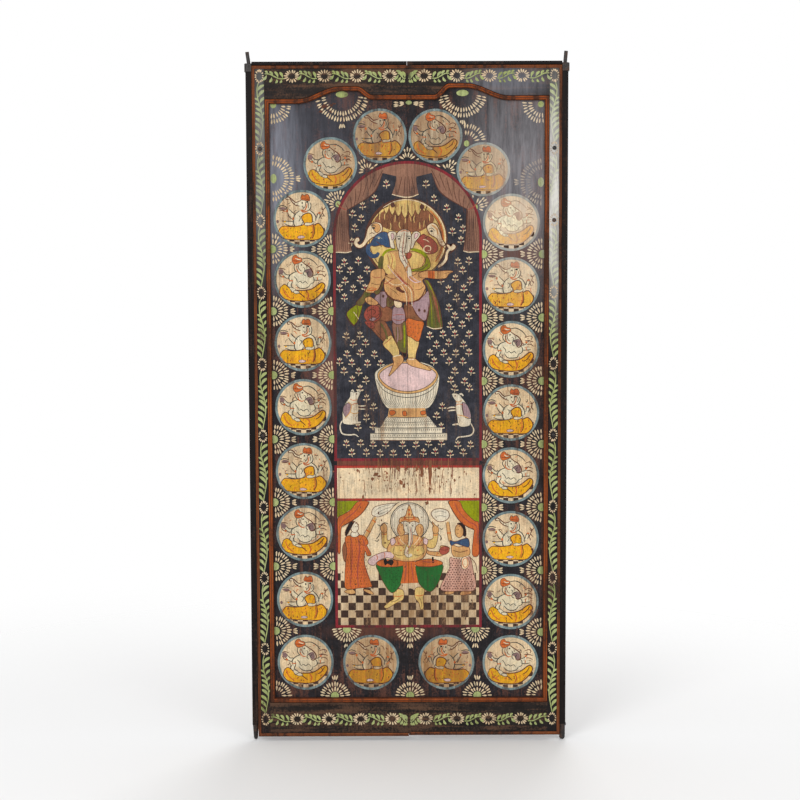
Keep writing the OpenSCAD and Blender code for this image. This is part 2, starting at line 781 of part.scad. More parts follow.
// Dark squares of the chequered floor, counted from the meeting line and the picture's foot
module floor_checks(side) {
    edge = niche_r - red_w;
    columns = ceil(edge / check_w);
    group_half_w = check_rows * check_w;
    color(wood_dark)
        paint(1)
            leaf_part(side)
                difference() {
                    for (row = [0 : check_rows + side_check_rows - 1], i = [-columns : columns - 1])
                        if ((i + row) % 2 == 0 && (row < check_rows || abs(i + 0.5) * check_w > group_half_w))
                            translate([i * check_w + check_gap, scene_foot + row * check_w + check_gap])
                                square(check_w - 2 * check_gap);
                    translate([edge, scene_foot]) square([drawn_half, drawn_top]);
                    translate([-edge - drawn_half, scene_foot]) square([drawn_half, drawn_top]);
                    seated_outlines();
                }
}

module medallion_grounds(side) {
    color(cream)
        paint(0)
            medallion_discs(side, -ring_w);
}

module medallion_rings(side) {
    color(ring_grey)
        paint(0, 2)
            for (m = medallions(side))
                translate([m[0], m[1]])
                    difference() {
                        circle(m[2]);
                        circle(m[2] - ring_w);
                    }
}

module yellow_garments(side) {
    color(ochre)
        paint(1)
            for (m = medallions(side))
                translate([m[0], m[1]])
                    intersection() {
                        mirror_outline(m[3] < 0)
                            polygon(smooth_loop(abs(m[3]) == 1 ? raised_knee : level_seat, 3));
                        circle(m[2] - ring_w);
                    }
}

module mirror_outline(turned) {
    if (turned) mirror([1, 0]) children();
    else children();
}

// Half-round green buds on the panel's edge, on the niche's edge and on the bottom rail
module fan_buds(side) {
    places = column(side);
    hang_z = scene_foot - red_w;
    color(green)
        paint(0)
            leaf_part(side) {
                for (i = [0 : column_count - 2]) {
                    z = (places[i][1] + places[i + 1][1]) / 2;
                    difference() {
                        translate([side * (drawn_half - bud_in), z]) circle(bud_r);
                        translate([side > 0 ? drawn_half : -2 * drawn_half, 0]) square([drawn_half, drawn_top]);
                    }
                    difference() {
                        translate([side * (niche_r + bud_in), z]) circle(bud_r);
                        translate([-niche_r, 0]) square([niche_w, drawn_top]);
                    }
                }
                for (b = rail_buds)
                    difference() {
                        translate([b[0], b[1] > 0 ? drawn_foot + bud_in : hang_z - bud_in]) circle(bud_r);
                        translate([-drawn_half, b[1] > 0 ? 0 : hang_z]) square([2 * drawn_half, drawn_foot]);
                    }
            }
}

// Standing figure before its round halo, with scarf and trousers
module standing_figure(side) {
    color(ochre)
        paint(1, 2)
            leaf_part(side) {
                translate([0, arch_z - halo_drop])
                    difference() {
                        circle(halo_r);
                        circle(halo_r - halo_w);
                    }
                translate([0, niche_foot])
                    scale([niche_stretch, 1])
                        for (outline = [torso, trousers, left_scarf, right_scarf, left_arm, right_arm])
                            polygon(smooth_loop(outline));
            }
}

module pedestal_and_mouse(side) {
    color(cream)
        paint(1)
            leaf_part(side)
                translate([0, niche_foot])
                    scale([niche_stretch, 1]) {
                        difference() {
                            union() {
                                polygon(smooth_loop(bowl));
                                polygon(plinth);
                            }
                            polygon(smooth_loop(trousers));
                        }
                        polygon(smooth_loop(side < 0 ? left_mouse : right_mouse));
                    }
}

module seated_outlines() {
    translate([0, scene_foot])
        scale([niche_stretch, 1])
            for (outline = [seated_body, skirt, left_dress, right_dress, left_drape, right_drape])
                polygon(smooth_loop(outline));
}

// Seated figure with its skirt, the attendant beside it and the drawn-back drape
module seated_group(side) {
    color(ochre)
        paint(1, 2)
            leaf_part(side)
                seated_outlines();
}

top_pin(left);  // left_top_pin
top_pin(right);  // right_top_pin
hinge_post(left);  // left_hinge_post
hinge_post(right);  // right_hinge_post
post_strap(left);  // left_post_strap
post_strap(right);  // right_post_strap
pivot_foot(left);  // left_pivot_foot
pivot_foot(right);  // right_pivot_foot
plank(left, outer_joint, post_in);  // left_outer_plank
plank(right, outer_joint, post_in);  // right_outer_plank
plank(left, inner_joint[0], outer_joint);  // left_middle_plank
plank(right, inner_joint[1], outer_joint);  // right_middle_plank
plank(left, half_gap, inner_joint[0]);  // left_meeting_plank
plank(right, half_gap, inner_joint[1]);  // right_meeting_plank
batten(left, batten_z[0]);  // left_low_batten
batten(right, batten_z[0]);  // right_low_batten
batten(left, batten_z[1]);  // left_middle_batten
batten(right, batten_z[1]);  // right_middle_batten
batten(left, batten_z[2]);  // left_high_batten
batten(right, batten_z[2]);  // right_high_batten
stile_board(left);  // left_stile_board
stile_board(right);  // right_stile_board
top_rail(left);  // left_top_rail
top_rail(right);  // right_top_rail
bottom_rail(left);  // left_bottom_rail
bottom_rail(right);  // right_bottom_rail
capping_strip(left);  // left_capping_strip
capping_strip(right);  // right_capping_strip
outer_bead(left);  // left_outer_bead
outer_bead(right);  // right_outer_bead
inner_bead(left);  // left_inner_bead
inner_bead(right);  // right_inner_bead
nails(left);  // left_nails
nails(right);  // right_nails
vine_flowers(left);  // left_vine_flowers
vine_flowers(right);  // right_vine_flowers
niche_ground(left);  // left_niche_ground
niche_ground(right);  // right_niche_ground
niche_border(left);  // left_niche_border
niche_border(right);  // right_niche_border
niche_curtain(left);  // left_niche_curtain
niche_curtain(right);  // right_niche_curtain
cream_fields(left);  // left_cream_fields
cream_fields(right);  // right_cream_fields
floor_checks(left);  // left_floor_checks
floor_checks(right);  // right_floor_checks
medallion_grounds(left);  // left_medallions
medallion_grounds(right);  // right_medallions
medallion_rings(left);  // left_medallion_rings
medallion_rings(right);  // right_medallion_rings
yellow_garments(left);  // left_yellow_garments
yellow_garments(right);  // right_yellow_garments
fan_buds(left);  // left_fan_buds
fan_buds(right);  // right_fan_buds
standing_figure(left);  // left_standing_figure
standing_figure(right);  // right_standing_figure
pedestal_and_mouse(left);  // left_pedestal_and_mouse
pedestal_and_mouse(right);  // right_pedestal_and_mouse
seated_group(left);  // left_seated_group
seated_group(right);  // right_seated_group
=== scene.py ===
import math
import random

import bpy
from mathutils import Matrix, Vector


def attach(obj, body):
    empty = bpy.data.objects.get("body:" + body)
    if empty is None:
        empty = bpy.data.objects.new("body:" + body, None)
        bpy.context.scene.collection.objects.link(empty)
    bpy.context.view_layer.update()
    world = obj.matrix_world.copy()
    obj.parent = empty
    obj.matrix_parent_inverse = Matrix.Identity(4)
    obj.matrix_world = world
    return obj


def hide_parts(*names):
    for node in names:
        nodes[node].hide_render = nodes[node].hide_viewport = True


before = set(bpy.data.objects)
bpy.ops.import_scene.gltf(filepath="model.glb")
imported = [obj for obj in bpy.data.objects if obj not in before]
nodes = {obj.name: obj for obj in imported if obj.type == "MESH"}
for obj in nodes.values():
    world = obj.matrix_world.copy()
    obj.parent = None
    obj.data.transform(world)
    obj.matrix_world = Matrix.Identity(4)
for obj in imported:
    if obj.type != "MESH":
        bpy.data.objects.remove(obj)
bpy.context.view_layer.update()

hand = random.Random(11)  # the brush's small irregularities
print("frame loaded:", len(nodes), "solids")


# helpers: objects, shader nodes and colours

def addObject(name, data):
    made = bpy.data.objects.new(name, data)
    bpy.context.scene.collection.objects.link(made)
    return made


def fillSocket(tree, socket, value):  # by a link or with a constant
    if isinstance(value, bpy.types.NodeSocket):
        tree.links.new(value, socket)
    else:
        socket.default_value = value


def put(tree, kind, links=None, **props):  # a node with its settings and inputs
    node = tree.nodes.new(kind)
    for key, value in props.items():
        setattr(node, key, value)
    for key, value in (links or {}).items():
        fillSocket(tree, node.inputs[key], value)
    return node


def noise(tree, where, scale, detail, rough=0.6):
    links = {"Vector": where, "Scale": scale, "Detail": detail, "Roughness": rough}
    return put(tree, "ShaderNodeTexNoise", links).outputs[0]


def spread(tree, value, low, high, toLow=0.0, toHigh=1.0):
    links = {"Value": value, "From Min": low, "From Max": high, "To Min": toLow, "To Max": toHigh}
    return put(tree, "ShaderNodeMapRange", links).outputs[0]


def eased(tree, value, low, high):
    links = {"Value": value, "From Min": low, "From Max": high}
    return put(tree, "ShaderNodeMapRange", links, interpolation_type="SMOOTHSTEP").outputs[0]


def sums(tree, kind, a, b):
    return put(tree, "ShaderNodeMath", {0: a, 1: b}, operation=kind).outputs[0]


def vectors(tree, kind, *values):
    return put(tree, "ShaderNodeVectorMath", dict(enumerate(values)), operation=kind).outputs


def blendOf(tree, share, a, b, kind="MIX"):
    node = put(tree, "ShaderNodeMix", data_type="RGBA", blend_type=kind)
    for index, value in ((0, share), (6, a), (7, b)):
        fillSocket(tree, node.inputs[index], value)
    return node.outputs[2]


def tint(r, g, b):  # a colour as read off a screen, made linear
    return tuple(c / 3294.6 if c <= 10 else ((c / 255 + 0.055) / 1.055) ** 2.4 for c in (r, g, b)) + (1,)


# camera, light and floor

view = {"place": (-0.0206, -5.033, 1.4543), "down": 4.887, "turn": -0.032, "roll": -0.2,
        "focalPx": 1698.74, "framePx": 800, "sensor": 36}


def makeCamera(v):
    down, turn, roll = (math.radians(v[k]) for k in ("down", "turn", "roll"))
    ahead = Vector((math.sin(turn) * math.cos(down), math.cos(turn) * math.cos(down), -math.sin(down)))
    level = Vector((math.cos(turn), -math.sin(turn), 0))
    rise = level.cross(ahead)
    right = level * math.cos(roll) + rise * math.sin(roll)
    up = rise * math.cos(roll) - level * math.sin(roll)
    data = bpy.data.cameras.new("doorCamera")
    data.sensor_width = v["sensor"]
    data.lens = v["focalPx"] / v["framePx"] * v["sensor"]
    camera = addObject("doorCamera", data)
    rows = [[right[i], up[i], -ahead[i], v["place"][i]] for i in range(3)]
    camera.matrix_world = Matrix(rows + [[0, 0, 0, 1]])
    bpy.context.scene.camera = camera


# each lamp has its place, its width and its power
studio = {"skyLight": 0.6, "aim": (0, 0, 1.0),
          "lamps": {"key": ((-2.3, -4.6, 3.3), 2.6, 105), "fill": ((2.6, -4.4, 2.0), 2.4, 48),
                    "back": ((0.8, 3.6, 2.6), 2.4, 70)},
          "floorColour": (0.97, 0.97, 0.97, 1), "floorRadius": 3.0, "floorZ": -0.0004, "floorSides": 96,
          "floorFade": (0.7, 2.8)}


def makeSky(s):
    world = bpy.data.worlds.new("studioSky")
    bpy.context.scene.world = world
    world.use_nodes = True
    tree = world.node_tree
    tree.nodes.clear()
    path = put(tree, "ShaderNodeLightPath").outputs
    seen = sums(tree, "MAXIMUM", path["Is Camera Ray"], path["Is Glossy Ray"])
    seen = sums(tree, "MAXIMUM", seen, path["Is Transmission Ray"])
    level = put(tree, "ShaderNodeMapRange", {"Value": seen, "To Min": s["skyLight"], "To Max": 1.0})
    sky = put(tree, "ShaderNodeBackground", {"Color": (1, 1, 1, 1), "Strength": level.outputs[0]})
    put(tree, "ShaderNodeOutputWorld", {"Surface": sky.outputs[0]})


def makeLamp(name, spot, size, power, aim):
    data = bpy.data.lights.new(name + "Light", "AREA")
    data.shape = "DISK"
    data.size = size
    data.energy = power
    lamp = addObject(name + "Light", data)
    lamp.location = spot
    lamp.rotation_euler = (Vector(aim) - Vector(spot)).to_track_quat("-Z", "Y").to_euler()


def makeFloor(s):
    sides, radius = s["floorSides"], s["floorRadius"]
    turns = [math.tau * k / sides for k in range(sides)]
    mesh = bpy.data.meshes.new("floor")
    mesh.from_pydata([(radius * math.cos(a), radius * math.sin(a), s["floorZ"]) for a in turns], [],
                     [list(range(sides))])
    floor = addObject("floor", mesh)
    paper = bpy.data.materials.new("floorPaper")
    paper.use_nodes = True
    tree = paper.node_tree
    tree.nodes.clear()
    where = put(tree, "ShaderNodeTexCoord").outputs["Object"]
    fade = eased(tree, vectors(tree, "LENGTH", where)["Value"], *s["floorFade"])
    matt = put(tree, "ShaderNodeBsdfDiffuse", {"Color": s["floorColour"]}).outputs[0]
    clear = put(tree, "ShaderNodeBsdfTransparent").outputs[0]
    both = put(tree, "ShaderNodeMixShader", {0: fade, 1: matt, 2: clear})
    put(tree, "ShaderNodeOutputMaterial", {"Surface": both.outputs[0]})
    mesh.materials.append(paper)


bpy.context.scene.view_settings.view_transform = "Standard"
makeCamera(view)
makeSky(studio)
for name, lamp in studio["lamps"].items():
    makeLamp(name, *lamp, studio["aim"])
makeFloor(studio)
print("camera, light and floor set")


# finishes: old paint and lacquer over wood

def newGroup(name, takes, gives):
    group = bpy.data.node_groups.new(name, "ShaderNodeTree")
    kinds = {"v": "NodeSocketVector", "c": "NodeSocketColor", "f": "NodeSocketFloat"}
    for way, sockets in (("INPUT", takes), ("OUTPUT", gives)):
        for label, kind in sockets:
            group.interface.new_socket(name=label, in_out=way, socket_type=kinds[kind])
    return group, put(group, "NodeGroupInput").outputs, put(group, "NodeGroupOutput").inputs


# scale, detail and roughness of each noise; how far it is drawn out along the grain; dark colours
aged = {"streak": (58, 7, 0.64), "fibre": (560, 3), "patch": (6, 5), "speck": (170, 5, 0.7),
        "blotch": (42, 5, 0.68), "dirt": (21, 6, 0.7), "slit": (150, 4, 0.7),
        "longGrain": 0.06, "fineGrain": 0.035, "slitGrain": 0.018,
        "warp": {"Scale": 60, "Detail": 2}, "warpBy": (0.006, 0.006, 0.006), "cells": 145,
        "crackColour": (0.02, 0.014, 0.012, 1), "dirtColour": (0.035, 0.022, 0.016, 1),
        "slitColour": (0.05, 0.028, 0.02, 1)}


def makeAgedPaint(v):  # tone, streaks along the grain, wear to the wood, crackle and grime
    group, take, give = newGroup(
        "agedPaint", [("Place", "v"), ("Paint", "c"), ("Shade", "c"), ("Bare", "c"), ("Wear", "f"),
                      ("Grime", "f"), ("Crackle", "f")],
        [("Color", "c"), ("Roughness", "f"), ("Height", "f")])
    here = take["Place"]

    def plus(a, b):
        return sums(group, "ADD", a, b)

    def minus(a, b):
        return sums(group, "SUBTRACT", a, b)

    def times(a, b):
        return sums(group, "MULTIPLY", a, b)

    def along(grain):
        return vectors(group, "MULTIPLY", here, (1, 1, v[grain]))[0]

    longWay = along("longGrain")
    streak = noise(group, longWay, *v["streak"])
    fibre = noise(group, along("fineGrain"), *v["fibre"])
    patch, speck, blotch = (noise(group, here, *v[k]) for k in ("patch", "speck", "blotch"))
    mixed = plus(plus(times(streak, 0.42), times(patch, 0.33)), times(speck, 0.25))
    worn = spread(group, minus(mixed, minus(0.67, times(take["Wear"], 0.34))), -0.025, 0.045)
    tone = plus(times(patch, 0.45), times(blotch, 0.55))
    colour = blendOf(group, spread(group, tone, 0.4, 0.6), take["Paint"], take["Shade"])
    light = spread(group, plus(fibre, plus(speck, blotch)), 1.18, 1.82, 0.58, 1.36)
    colour = blendOf(group, 1.0, colour, light, "MULTIPLY")
    colour = blendOf(group, worn, colour, take["Bare"])
    bent = put(group, "ShaderNodeTexNoise", {"Vector": here, **v["warp"]}).outputs[1]
    bent = vectors(group, "MULTIPLY_ADD", bent, v["warpBy"], here)[0]
    links = {"Vector": bent, "Scale": v["cells"]}
    cells = put(group, "ShaderNodeTexVoronoi", links, feature="DISTANCE_TO_EDGE")
    crack = times(spread(group, cells.outputs[0], 0.0, 0.06, 1.0, 0.0), spread(group, patch, 0.42, 0.6))
    colour = blendOf(group, times(crack, take["Crackle"]), colour, v["crackColour"])
    dirt = spread(group, noise(group, longWay, *v["dirt"]), 0.5, 0.74)
    colour = blendOf(group, times(dirt, take["Grime"]), colour, v["dirtColour"])
    slits = spread(group, noise(group, along("slitGrain"), *v["slit"]), 0.6, 0.66, 0, 0.75)
    slits = times(slits, spread(group, patch, 0.4, 0.62, 0.15, 1))
    colour = blendOf(group, slits, colour, v["slitColour"])
    rough = spread(group, plus(speck, times(worn, 0.5)), 0.3, 1.1, 0.42, 0.82)
    height = minus(minus(times(fibre, 0.35), times(worn, 0.4)), times(crack, 0.5))
    for label, value in (("Color", colour), ("Roughness", rough), ("Height", height)):
        group.links.new(value, give[label])
    return group


zoneFalloff = {"grain": (1, 1, 0.12), "breaks": (70, 6, 0.7), "fade": (1.0, 0.15)}


def makeGlareAndDirtZone(v):  # a zone blended towards another colour: painted glare and sheen in some zones, dirt and brown wear in others
    group, take, give = newGroup(
        "glareAndDirtZone", [("Place", "v"), ("Color", "c"), ("Middle", "v"), ("Reach", "v"), ("ZoneColour", "c"),
                      ("Strength", "f")], [("Color", "c")])
    off = vectors(group, "SUBTRACT", take["Place"], take["Middle"])[0]
    off = vectors(group, "DIVIDE", off, take["Reach"])[0]
    near = eased(group, vectors(group, "LENGTH", off)["Value"], *v["fade"])
    drawnOut = vectors(group, "MULTIPLY", take["Place"], v["grain"])[0]
    broken = spread(group, noise(group, drawnOut, *v["breaks"]), 0.3, 0.62, 0.3, 1.0)
    share = sums(group, "MULTIPLY", sums(group, "MULTIPLY", near, broken), take["Strength"])
    group.links.new(blendOf(group, share, take["Color"], take["ZoneColour"]), give["Color"])
    return group


agedPaint = makeAgedPaint(aged)
glareAndDirtZone = makeGlareAndDirtZone(zoneFalloff)

panelY, boardY, zoneDepth = -0.017, -0.03, 0.2  # where the painted glare and the dirt lie, in metres


def zone(x, z, reachX, reachZ, colourThere, strength, y=panelY):
    return {"Middle": (x, y, z), "Reach": (reachX, zoneDepth, reachZ), "ZoneColour": tint(*colourThere),
            "Strength": strength}


# painted glare and sheen on the lacquer and the paint: the upper left panel (partly its own slate tone), its
# left edge, the upper right panel with the paints and lines there, the stiles and the top rail; the brown
# zones and the dirt zones are the door's own wear
slateAndSheenLeft = zone(-0.3, 1.72, 0.3, 0.42, (84, 85, 94), 0.66)
sheenLeftEdge = zone(-0.4, 1.66, 0.13, 0.42, (136, 138, 148), 0.95)
glareRightPanel = zone(0.34, 1.68, 0.26, 0.5, (150, 147, 151), 0.72)
glareOnPaints = zone(0.34, 1.68, 0.26, 0.5, (206, 192, 178), 0.6)
glareOnLines = zone(0.31, 1.58, 0.2, 0.3, (198, 170, 146), 0.98)
glareOnPetals = zone(0.37, 1.66, 0.14, 0.17, (126, 122, 124), 0.98)
brownHigh = zone(0.3, 1.455, 0.16, 0.07, (98, 66, 56), 0.9)
brownMid = zone(-0.245, 1.13, 0.07, 0.26, (118, 80, 74), 0.9)
brownLow = zone(-0.06, 0.33, 0.26, 0.04, (96, 60, 48), 0.95)
glareOnStile = zone(0.43, 1.62, 0.055, 0.47, (222, 219, 213), 0.95, boardY)
sheenOnLeftStile = zone(-0.43, 1.72, 0.05, 0.42, (150, 150, 148), 0.66, boardY)
glareOnRail = zone(0.29, 1.955, 0.2, 0.075, (128, 128, 136), 0.72, boardY)
floorDirt = zone(0, 0.38, 0.4, 0.17, (138, 100, 60), 0.85)
archDirt = zone(0, 1.78, 0.5, 0.3, (130, 96, 70), 0.9)
lowDirt = zone(0, 0.2, 0.42, 0.24, (138, 94, 50), 0.9)
glareAndDirtZones = {"panelWood": (slateAndSheenLeft, sheenLeftEdge, glareRightPanel, brownHigh, brownMid, brownLow),
          "borderLacquer": (glareOnStile, sheenOnLeftStile), "leafPaint": (glareOnStile, sheenOnLeftStile),
          "railLacquer": (glareOnRail,), "creamPaint": (floorDirt,),
          "medalPaint": (glareOnPaints, archDirt, lowDirt),
          "skinPaint": (archDirt, lowDirt), "ochrePaint": (glareOnPaints, archDirt, lowDirt),
          "petalPaint": (glareOnPaints, glareOnPetals), "ringPaint": (glareOnPaints,), "inkLine": (glareOnLines,),
          "brownLine": (glareOnLines,), "orangePaint": (glareOnLines,), "mauvePaint": (glareOnLines,)}

finishes = {  # paint, its second tone, what shows where it is worn, wear, grime, crackle
    "panelWood": ((34, 31, 33), (43, 41, 45), (96, 64, 54), 0.42, 0.2, 0.4),
    "borderLacquer": ((28, 25, 26), (36, 32, 32), (74, 54, 46), 0.32, 0.2, 0.3),
    "railLacquer": ((32, 28, 27), (42, 36, 34), (92, 68, 54), 0.46, 0.2, 0.3),
    "beadOrange": ((168, 84, 36), (138, 68, 34), (74, 46, 34), 0.46, 0.4, 0.2),
    "outerBead": ((158, 88, 44), (122, 66, 38), (60, 42, 34), 0.42, 0.35, 0.2),
    "darkWood": ((25, 20, 19), (19, 16, 16), (64, 48, 40), 0.32, 0.2, 0.1),
    "backWood": ((112, 82, 58), (92, 66, 48), (124, 95, 70), 0.42, 0.55, 0.1),
    "creamPaint": ((232, 212, 178), (218, 192, 154), (124, 86, 66), 0.26, 0.2, 0.25),
    "medalPaint": ((230, 206, 168), (212, 182, 142), (150, 112, 84), 0.34, 0.28, 0.40),
    "petalPaint": ((226, 206, 170), (208, 180, 142), (104, 80, 64), 0.26, 0.2, 0.1),
    "whitePaint": ((226, 214, 190), (210, 194, 166), (160, 128, 98), 0.31, 0.38, 0.35),
    "skinPaint": ((230, 218, 188), (214, 196, 160), (186, 152, 114), 0.26, 0.24, 0.30),
    "nightPaint": ((42, 43, 50), (58, 58, 65), (92, 74, 66), 0.3, 0.2, 0.4),
    "redPaint": ((140, 42, 50), (112, 44, 50), (78, 52, 48), 0.48, 0.3, 0.2),
    "curtainPaint": ((156, 114, 92), (128, 92, 76), (92, 70, 62), 0.4, 0.25, 0.2),
    "curtainFold": ((96, 60, 48), (80, 52, 44), (66, 48, 44), 0.3, 0.25, 0.2),
    "blackPaint": ((30, 26, 27), (44, 36, 34), (92, 66, 54), 0.26, 0.1, 0.2),
    "ringPaint": ((106, 126, 128), (134, 148, 146), (80, 80, 78), 0.42, 0.3, 0.2),
    "ochrePaint": ((240, 182, 30), (220, 150, 36), (164, 100, 46), 0.28, 0.28, 0.30),
    "leafPaint": ((176, 186, 128), (150, 160, 96), (74, 68, 50), 0.26, 0.2, 0.1),
    "orangePaint": ((206, 112, 52), (190, 92, 48), (144, 84, 56), 0.33, 0.38, 0.30),
    "brownLine": ((104, 58, 40), (84, 48, 38), (150, 108, 80), 0.16, 0.1, 0.1),
    "inkLine": ((62, 66, 62), (52, 52, 50), (140, 118, 94), 0.16, 0.1, 0.1),
    "rustPaint": ((174, 88, 70), (150, 70, 58), (120, 76, 60), 0.33, 0.38, 0.30),
    "tanPaint": ((214, 168, 108), (198, 144, 92), (158, 106, 72), 0.33, 0.38, 0.35),
    "haloPaint": ((220, 190, 122), (208, 172, 100), (160, 116, 76), 0.33, 0.38, 0.35),
    "bluePaint": ((52, 76, 108), (64, 82, 106), (84, 74, 74), 0.35, 0.38, 0.30),
    "lilacPaint": ((168, 138, 142), (150, 122, 124), (126, 96, 90), 0.33, 0.38, 0.30),
    "mauvePaint": ((136, 108, 104), (120, 94, 90), (168, 138, 116), 0.2, 0.2, 0.2),
    "brightGreen": ((150, 154, 16), (126, 134, 24), (116, 100, 44), 0.3, 0.3, 0.30),
    "oliveGreen": ((92, 96, 46), (108, 88, 52), (92, 72, 50), 0.37, 0.43, 0.30),
    "deepGreen": ((44, 110, 48), (36, 88, 42), (62, 74, 44), 0.33, 0.43, 0.30),
    "pinkPaint": ((218, 188, 184), (206, 172, 166), (180, 140, 124), 0.29, 0.33, 0.35),
    "checkPaint": ((54, 41, 36), (78, 58, 46), (140, 108, 80), 0.34, 0.1, 0.2),
    "vermilion": ((184, 66, 50), (160, 58, 48), (112, 66, 56), 0.36, 0.3, 0.2),
    "rosePaint": ((212, 168, 150), (192, 142, 122), (150, 106, 86), 0.34, 0.4, 0.3),
    "bandBrown": ((124, 74, 58), (104, 58, 48), (74, 50, 44), 0.4, 0.35, 0.2),
    "thighBrown": ((124, 84, 58), (138, 86, 60), (104, 70, 52), 0.22, 0.25, 0.2),
}

lyingGrain = ("railLacquer",)
rearBare = ("panelWood",)  # painted only on the front
beadShade = {"beadOrange": tint(70, 40, 28), "outerBead": tint(58, 38, 30)}  # painted shade: darker on the crest and the flanks, by the way each face turns
paintBump, paintShine = (0.35, 0.0012), 0.1
iron = {"pits": (260, 6, 0.7), "rust": (55, 6, 0.7), "black": tint(40, 37, 36), "brown": tint(78, 54, 42),
        "bright": tint(92, 88, 84), "bump": (0.5, 0.0008)}


def newMaterial(name):
    material = bpy.data.materials.new(name)
    material.use_nodes = True
    tree = material.node_tree
    return material, tree, tree.nodes["Principled BSDF"], put(tree, "ShaderNodeTexCoord").outputs["Object"]


def roughen(tree, shader, height, strength, distance):
    bump = put(tree, "ShaderNodeBump", {"Height": height, "Strength": strength, "Distance": distance})
    tree.links.new(bump.outputs[0], shader.inputs["Normal"])


def facing(tree):  # 1 to the rear, -1 to the front
    normal = put(tree, "ShaderNodeTexCoord").outputs["Normal"]
    return put(tree, "ShaderNodeSeparateXYZ", {0: normal}).outputs[1]


def ageing(tree, grain, name):
    paint, shade, bare, wear, grime, crackle = finishes[name]
    links = {"Place": grain, "Paint": tint(*paint), "Shade": tint(*shade), "Bare": tint(*bare),
             "Wear": wear, "Grime": grime, "Crackle": crackle}
    return put(tree, "ShaderNodeGroup", links, node_tree=agedPaint).outputs


def makeFinish(name):
    material, tree, shader, where = newMaterial(name)
    grain = where
    if name in lyingGrain:
        grain = put(tree, "ShaderNodeMapping", {"Vector": where, "Rotation": (0, math.pi / 2, 0)}).outputs[0]
    coat = ageing(tree, grain, name)
    colour = coat["Color"]
    # painted shade on the beads, by the way each face turns
    if name in beadShade:
        turned = facing(tree)
        colour = blendOf(tree, spread(tree, turned, -0.93, -0.98, 0, 0.75), colour, beadShade[name])
        colour = blendOf(tree, spread(tree, turned, -0.7, -0.3), colour, beadShade[name])
    # painted glare and sheen, and dirt, blended in zone by zone
    for spot in glareAndDirtZones.get(name, ()):
        links = {"Place": where, "Color": colour, **spot}
        colour = put(tree, "ShaderNodeGroup", links, node_tree=glareAndDirtZone).outputs["Color"]
    if name in rearBare:
        rear = spread(tree, facing(tree), 0.3, 0.6)
        colour = blendOf(tree, rear, colour, ageing(tree, grain, "backWood")["Color"])
    tree.links.new(colour, shader.inputs["Base Color"])
    tree.links.new(coat["Roughness"], shader.inputs["Roughness"])
    roughen(tree, shader, coat["Height"], *paintBump)
    shader.inputs["Specular IOR Level"].default_value = paintShine
    return material


def makeIron(v):
    material, tree, shader, where = newMaterial("blackIron")
    pits = noise(tree, where, *v["pits"])
    rust = spread(tree, noise(tree, where, *v["rust"]), 0.5, 0.64)
    colour = blendOf(tree, rust, v["black"], v["brown"])
    colour = blendOf(tree, spread(tree, pits, 0.58, 0.72), colour, v["bright"])
    tree.links.new(colour, shader.inputs["Base Color"])
    tree.links.new(spread(tree, rust, 0, 1, 0.42, 0.85), shader.inputs["Roughness"])
    tree.links.new(spread(tree, rust, 0, 1, 0.5, 0.05), shader.inputs["Metallic"])
    roughen(tree, shader, pits, *v["bump"])
    return material


looks = {name: makeFinish(name) for name in finishes}
looks["blackIron"] = makeIron(iron)
nodeLooks = {"blackIron": ("top_pin", "post_strap", "pivot_foot", "nails"),
             "darkWood": ("hinge_post", "capping_strip"),
             "panelWood": ("outer_plank", "middle_plank", "meeting_plank"),
             "backWood": ("low_batten", "middle_batten", "high_batten"),
             "borderLacquer": ("stile_board",), "railLacquer": ("top_rail", "bottom_rail"),
             "outerBead": ("outer_bead",), "beadOrange": ("inner_bead",),
             "creamPaint": ("vine_flowers", "cream_fields"), "nightPaint": ("niche_ground",),
             "redPaint": ("niche_border",), "curtainPaint": ("niche_curtain",),
             "checkPaint": ("floor_checks",), "medalPaint": ("medallions",),
             "ringPaint": ("medallion_rings",), "ochrePaint": ("yellow_garments",),
             "leafPaint": ("fan_buds",), "tanPaint": ("standing_figure",),
             "whitePaint": ("pedestal_and_mouse",), "orangePaint": ("seated_group",)}
lookOf = {kind: look for look, kinds in nodeLooks.items() for kind in kinds}
for name, solid in nodes.items():
    solid.data.materials.clear()
    solid.data.materials.append(looks[lookOf[name.split("_", 1)[1]]])
print("finishes made:", len(looks))


# brushwork: thin closed fields of paint, laid out in millimetres on the door's face

ground = {"panel": 17.0, "coat": 17.4, "second": 17.8, "board": 29.0}  # depth of what carries the paint
sheet = {"lift": 15.0, "seam": 0.45, "coat": 0.1, "step": 0.02, "sink": 0.06, "cell": 40,
         "leastEdge": 0.02, "leastArea": 0.5}
stroke = {"from": 0.35, "to": 0.3, "bulge": 0.6}  # how a stroke swells between its ends
laid = []

# the brushes' paints by short names
skin, ink, brown, orange, mauve, ochre, pink, black = (
    "skinPaint", "inkLine", "brownLine", "orangePaint", "mauvePaint", "ochrePaint", "pinkPaint", "blackPaint")
cloth, fold, cream, rust, halo, umber, tan, blue = (
    "curtainPaint", "curtainFold", "creamPaint", "rustPaint", "haloPaint", "thighBrown", "tanPaint",
    "bluePaint")
greyBlue, white, lime, olive, lilac, green, rose, band = (
    "ringPaint", "whitePaint", "brightGreen", "oliveGreen", "lilacPaint", "deepGreen", "rosePaint",
    "bandBrown")
petalWhite, leafGreen, red, vermilion, check = (
    "petalPaint", "leafPaint", "redPaint", "vermilion", "checkPaint")


def around(amount):
    return hand.uniform(-amount, amount)


def drawn(low, over, power=1):  # from low on, by chance
    return low + hand.random() ** power * over


def polar(radius, turn, x=0, z=0):
    return x + radius * math.cos(turn), z + radius * math.sin(turn)


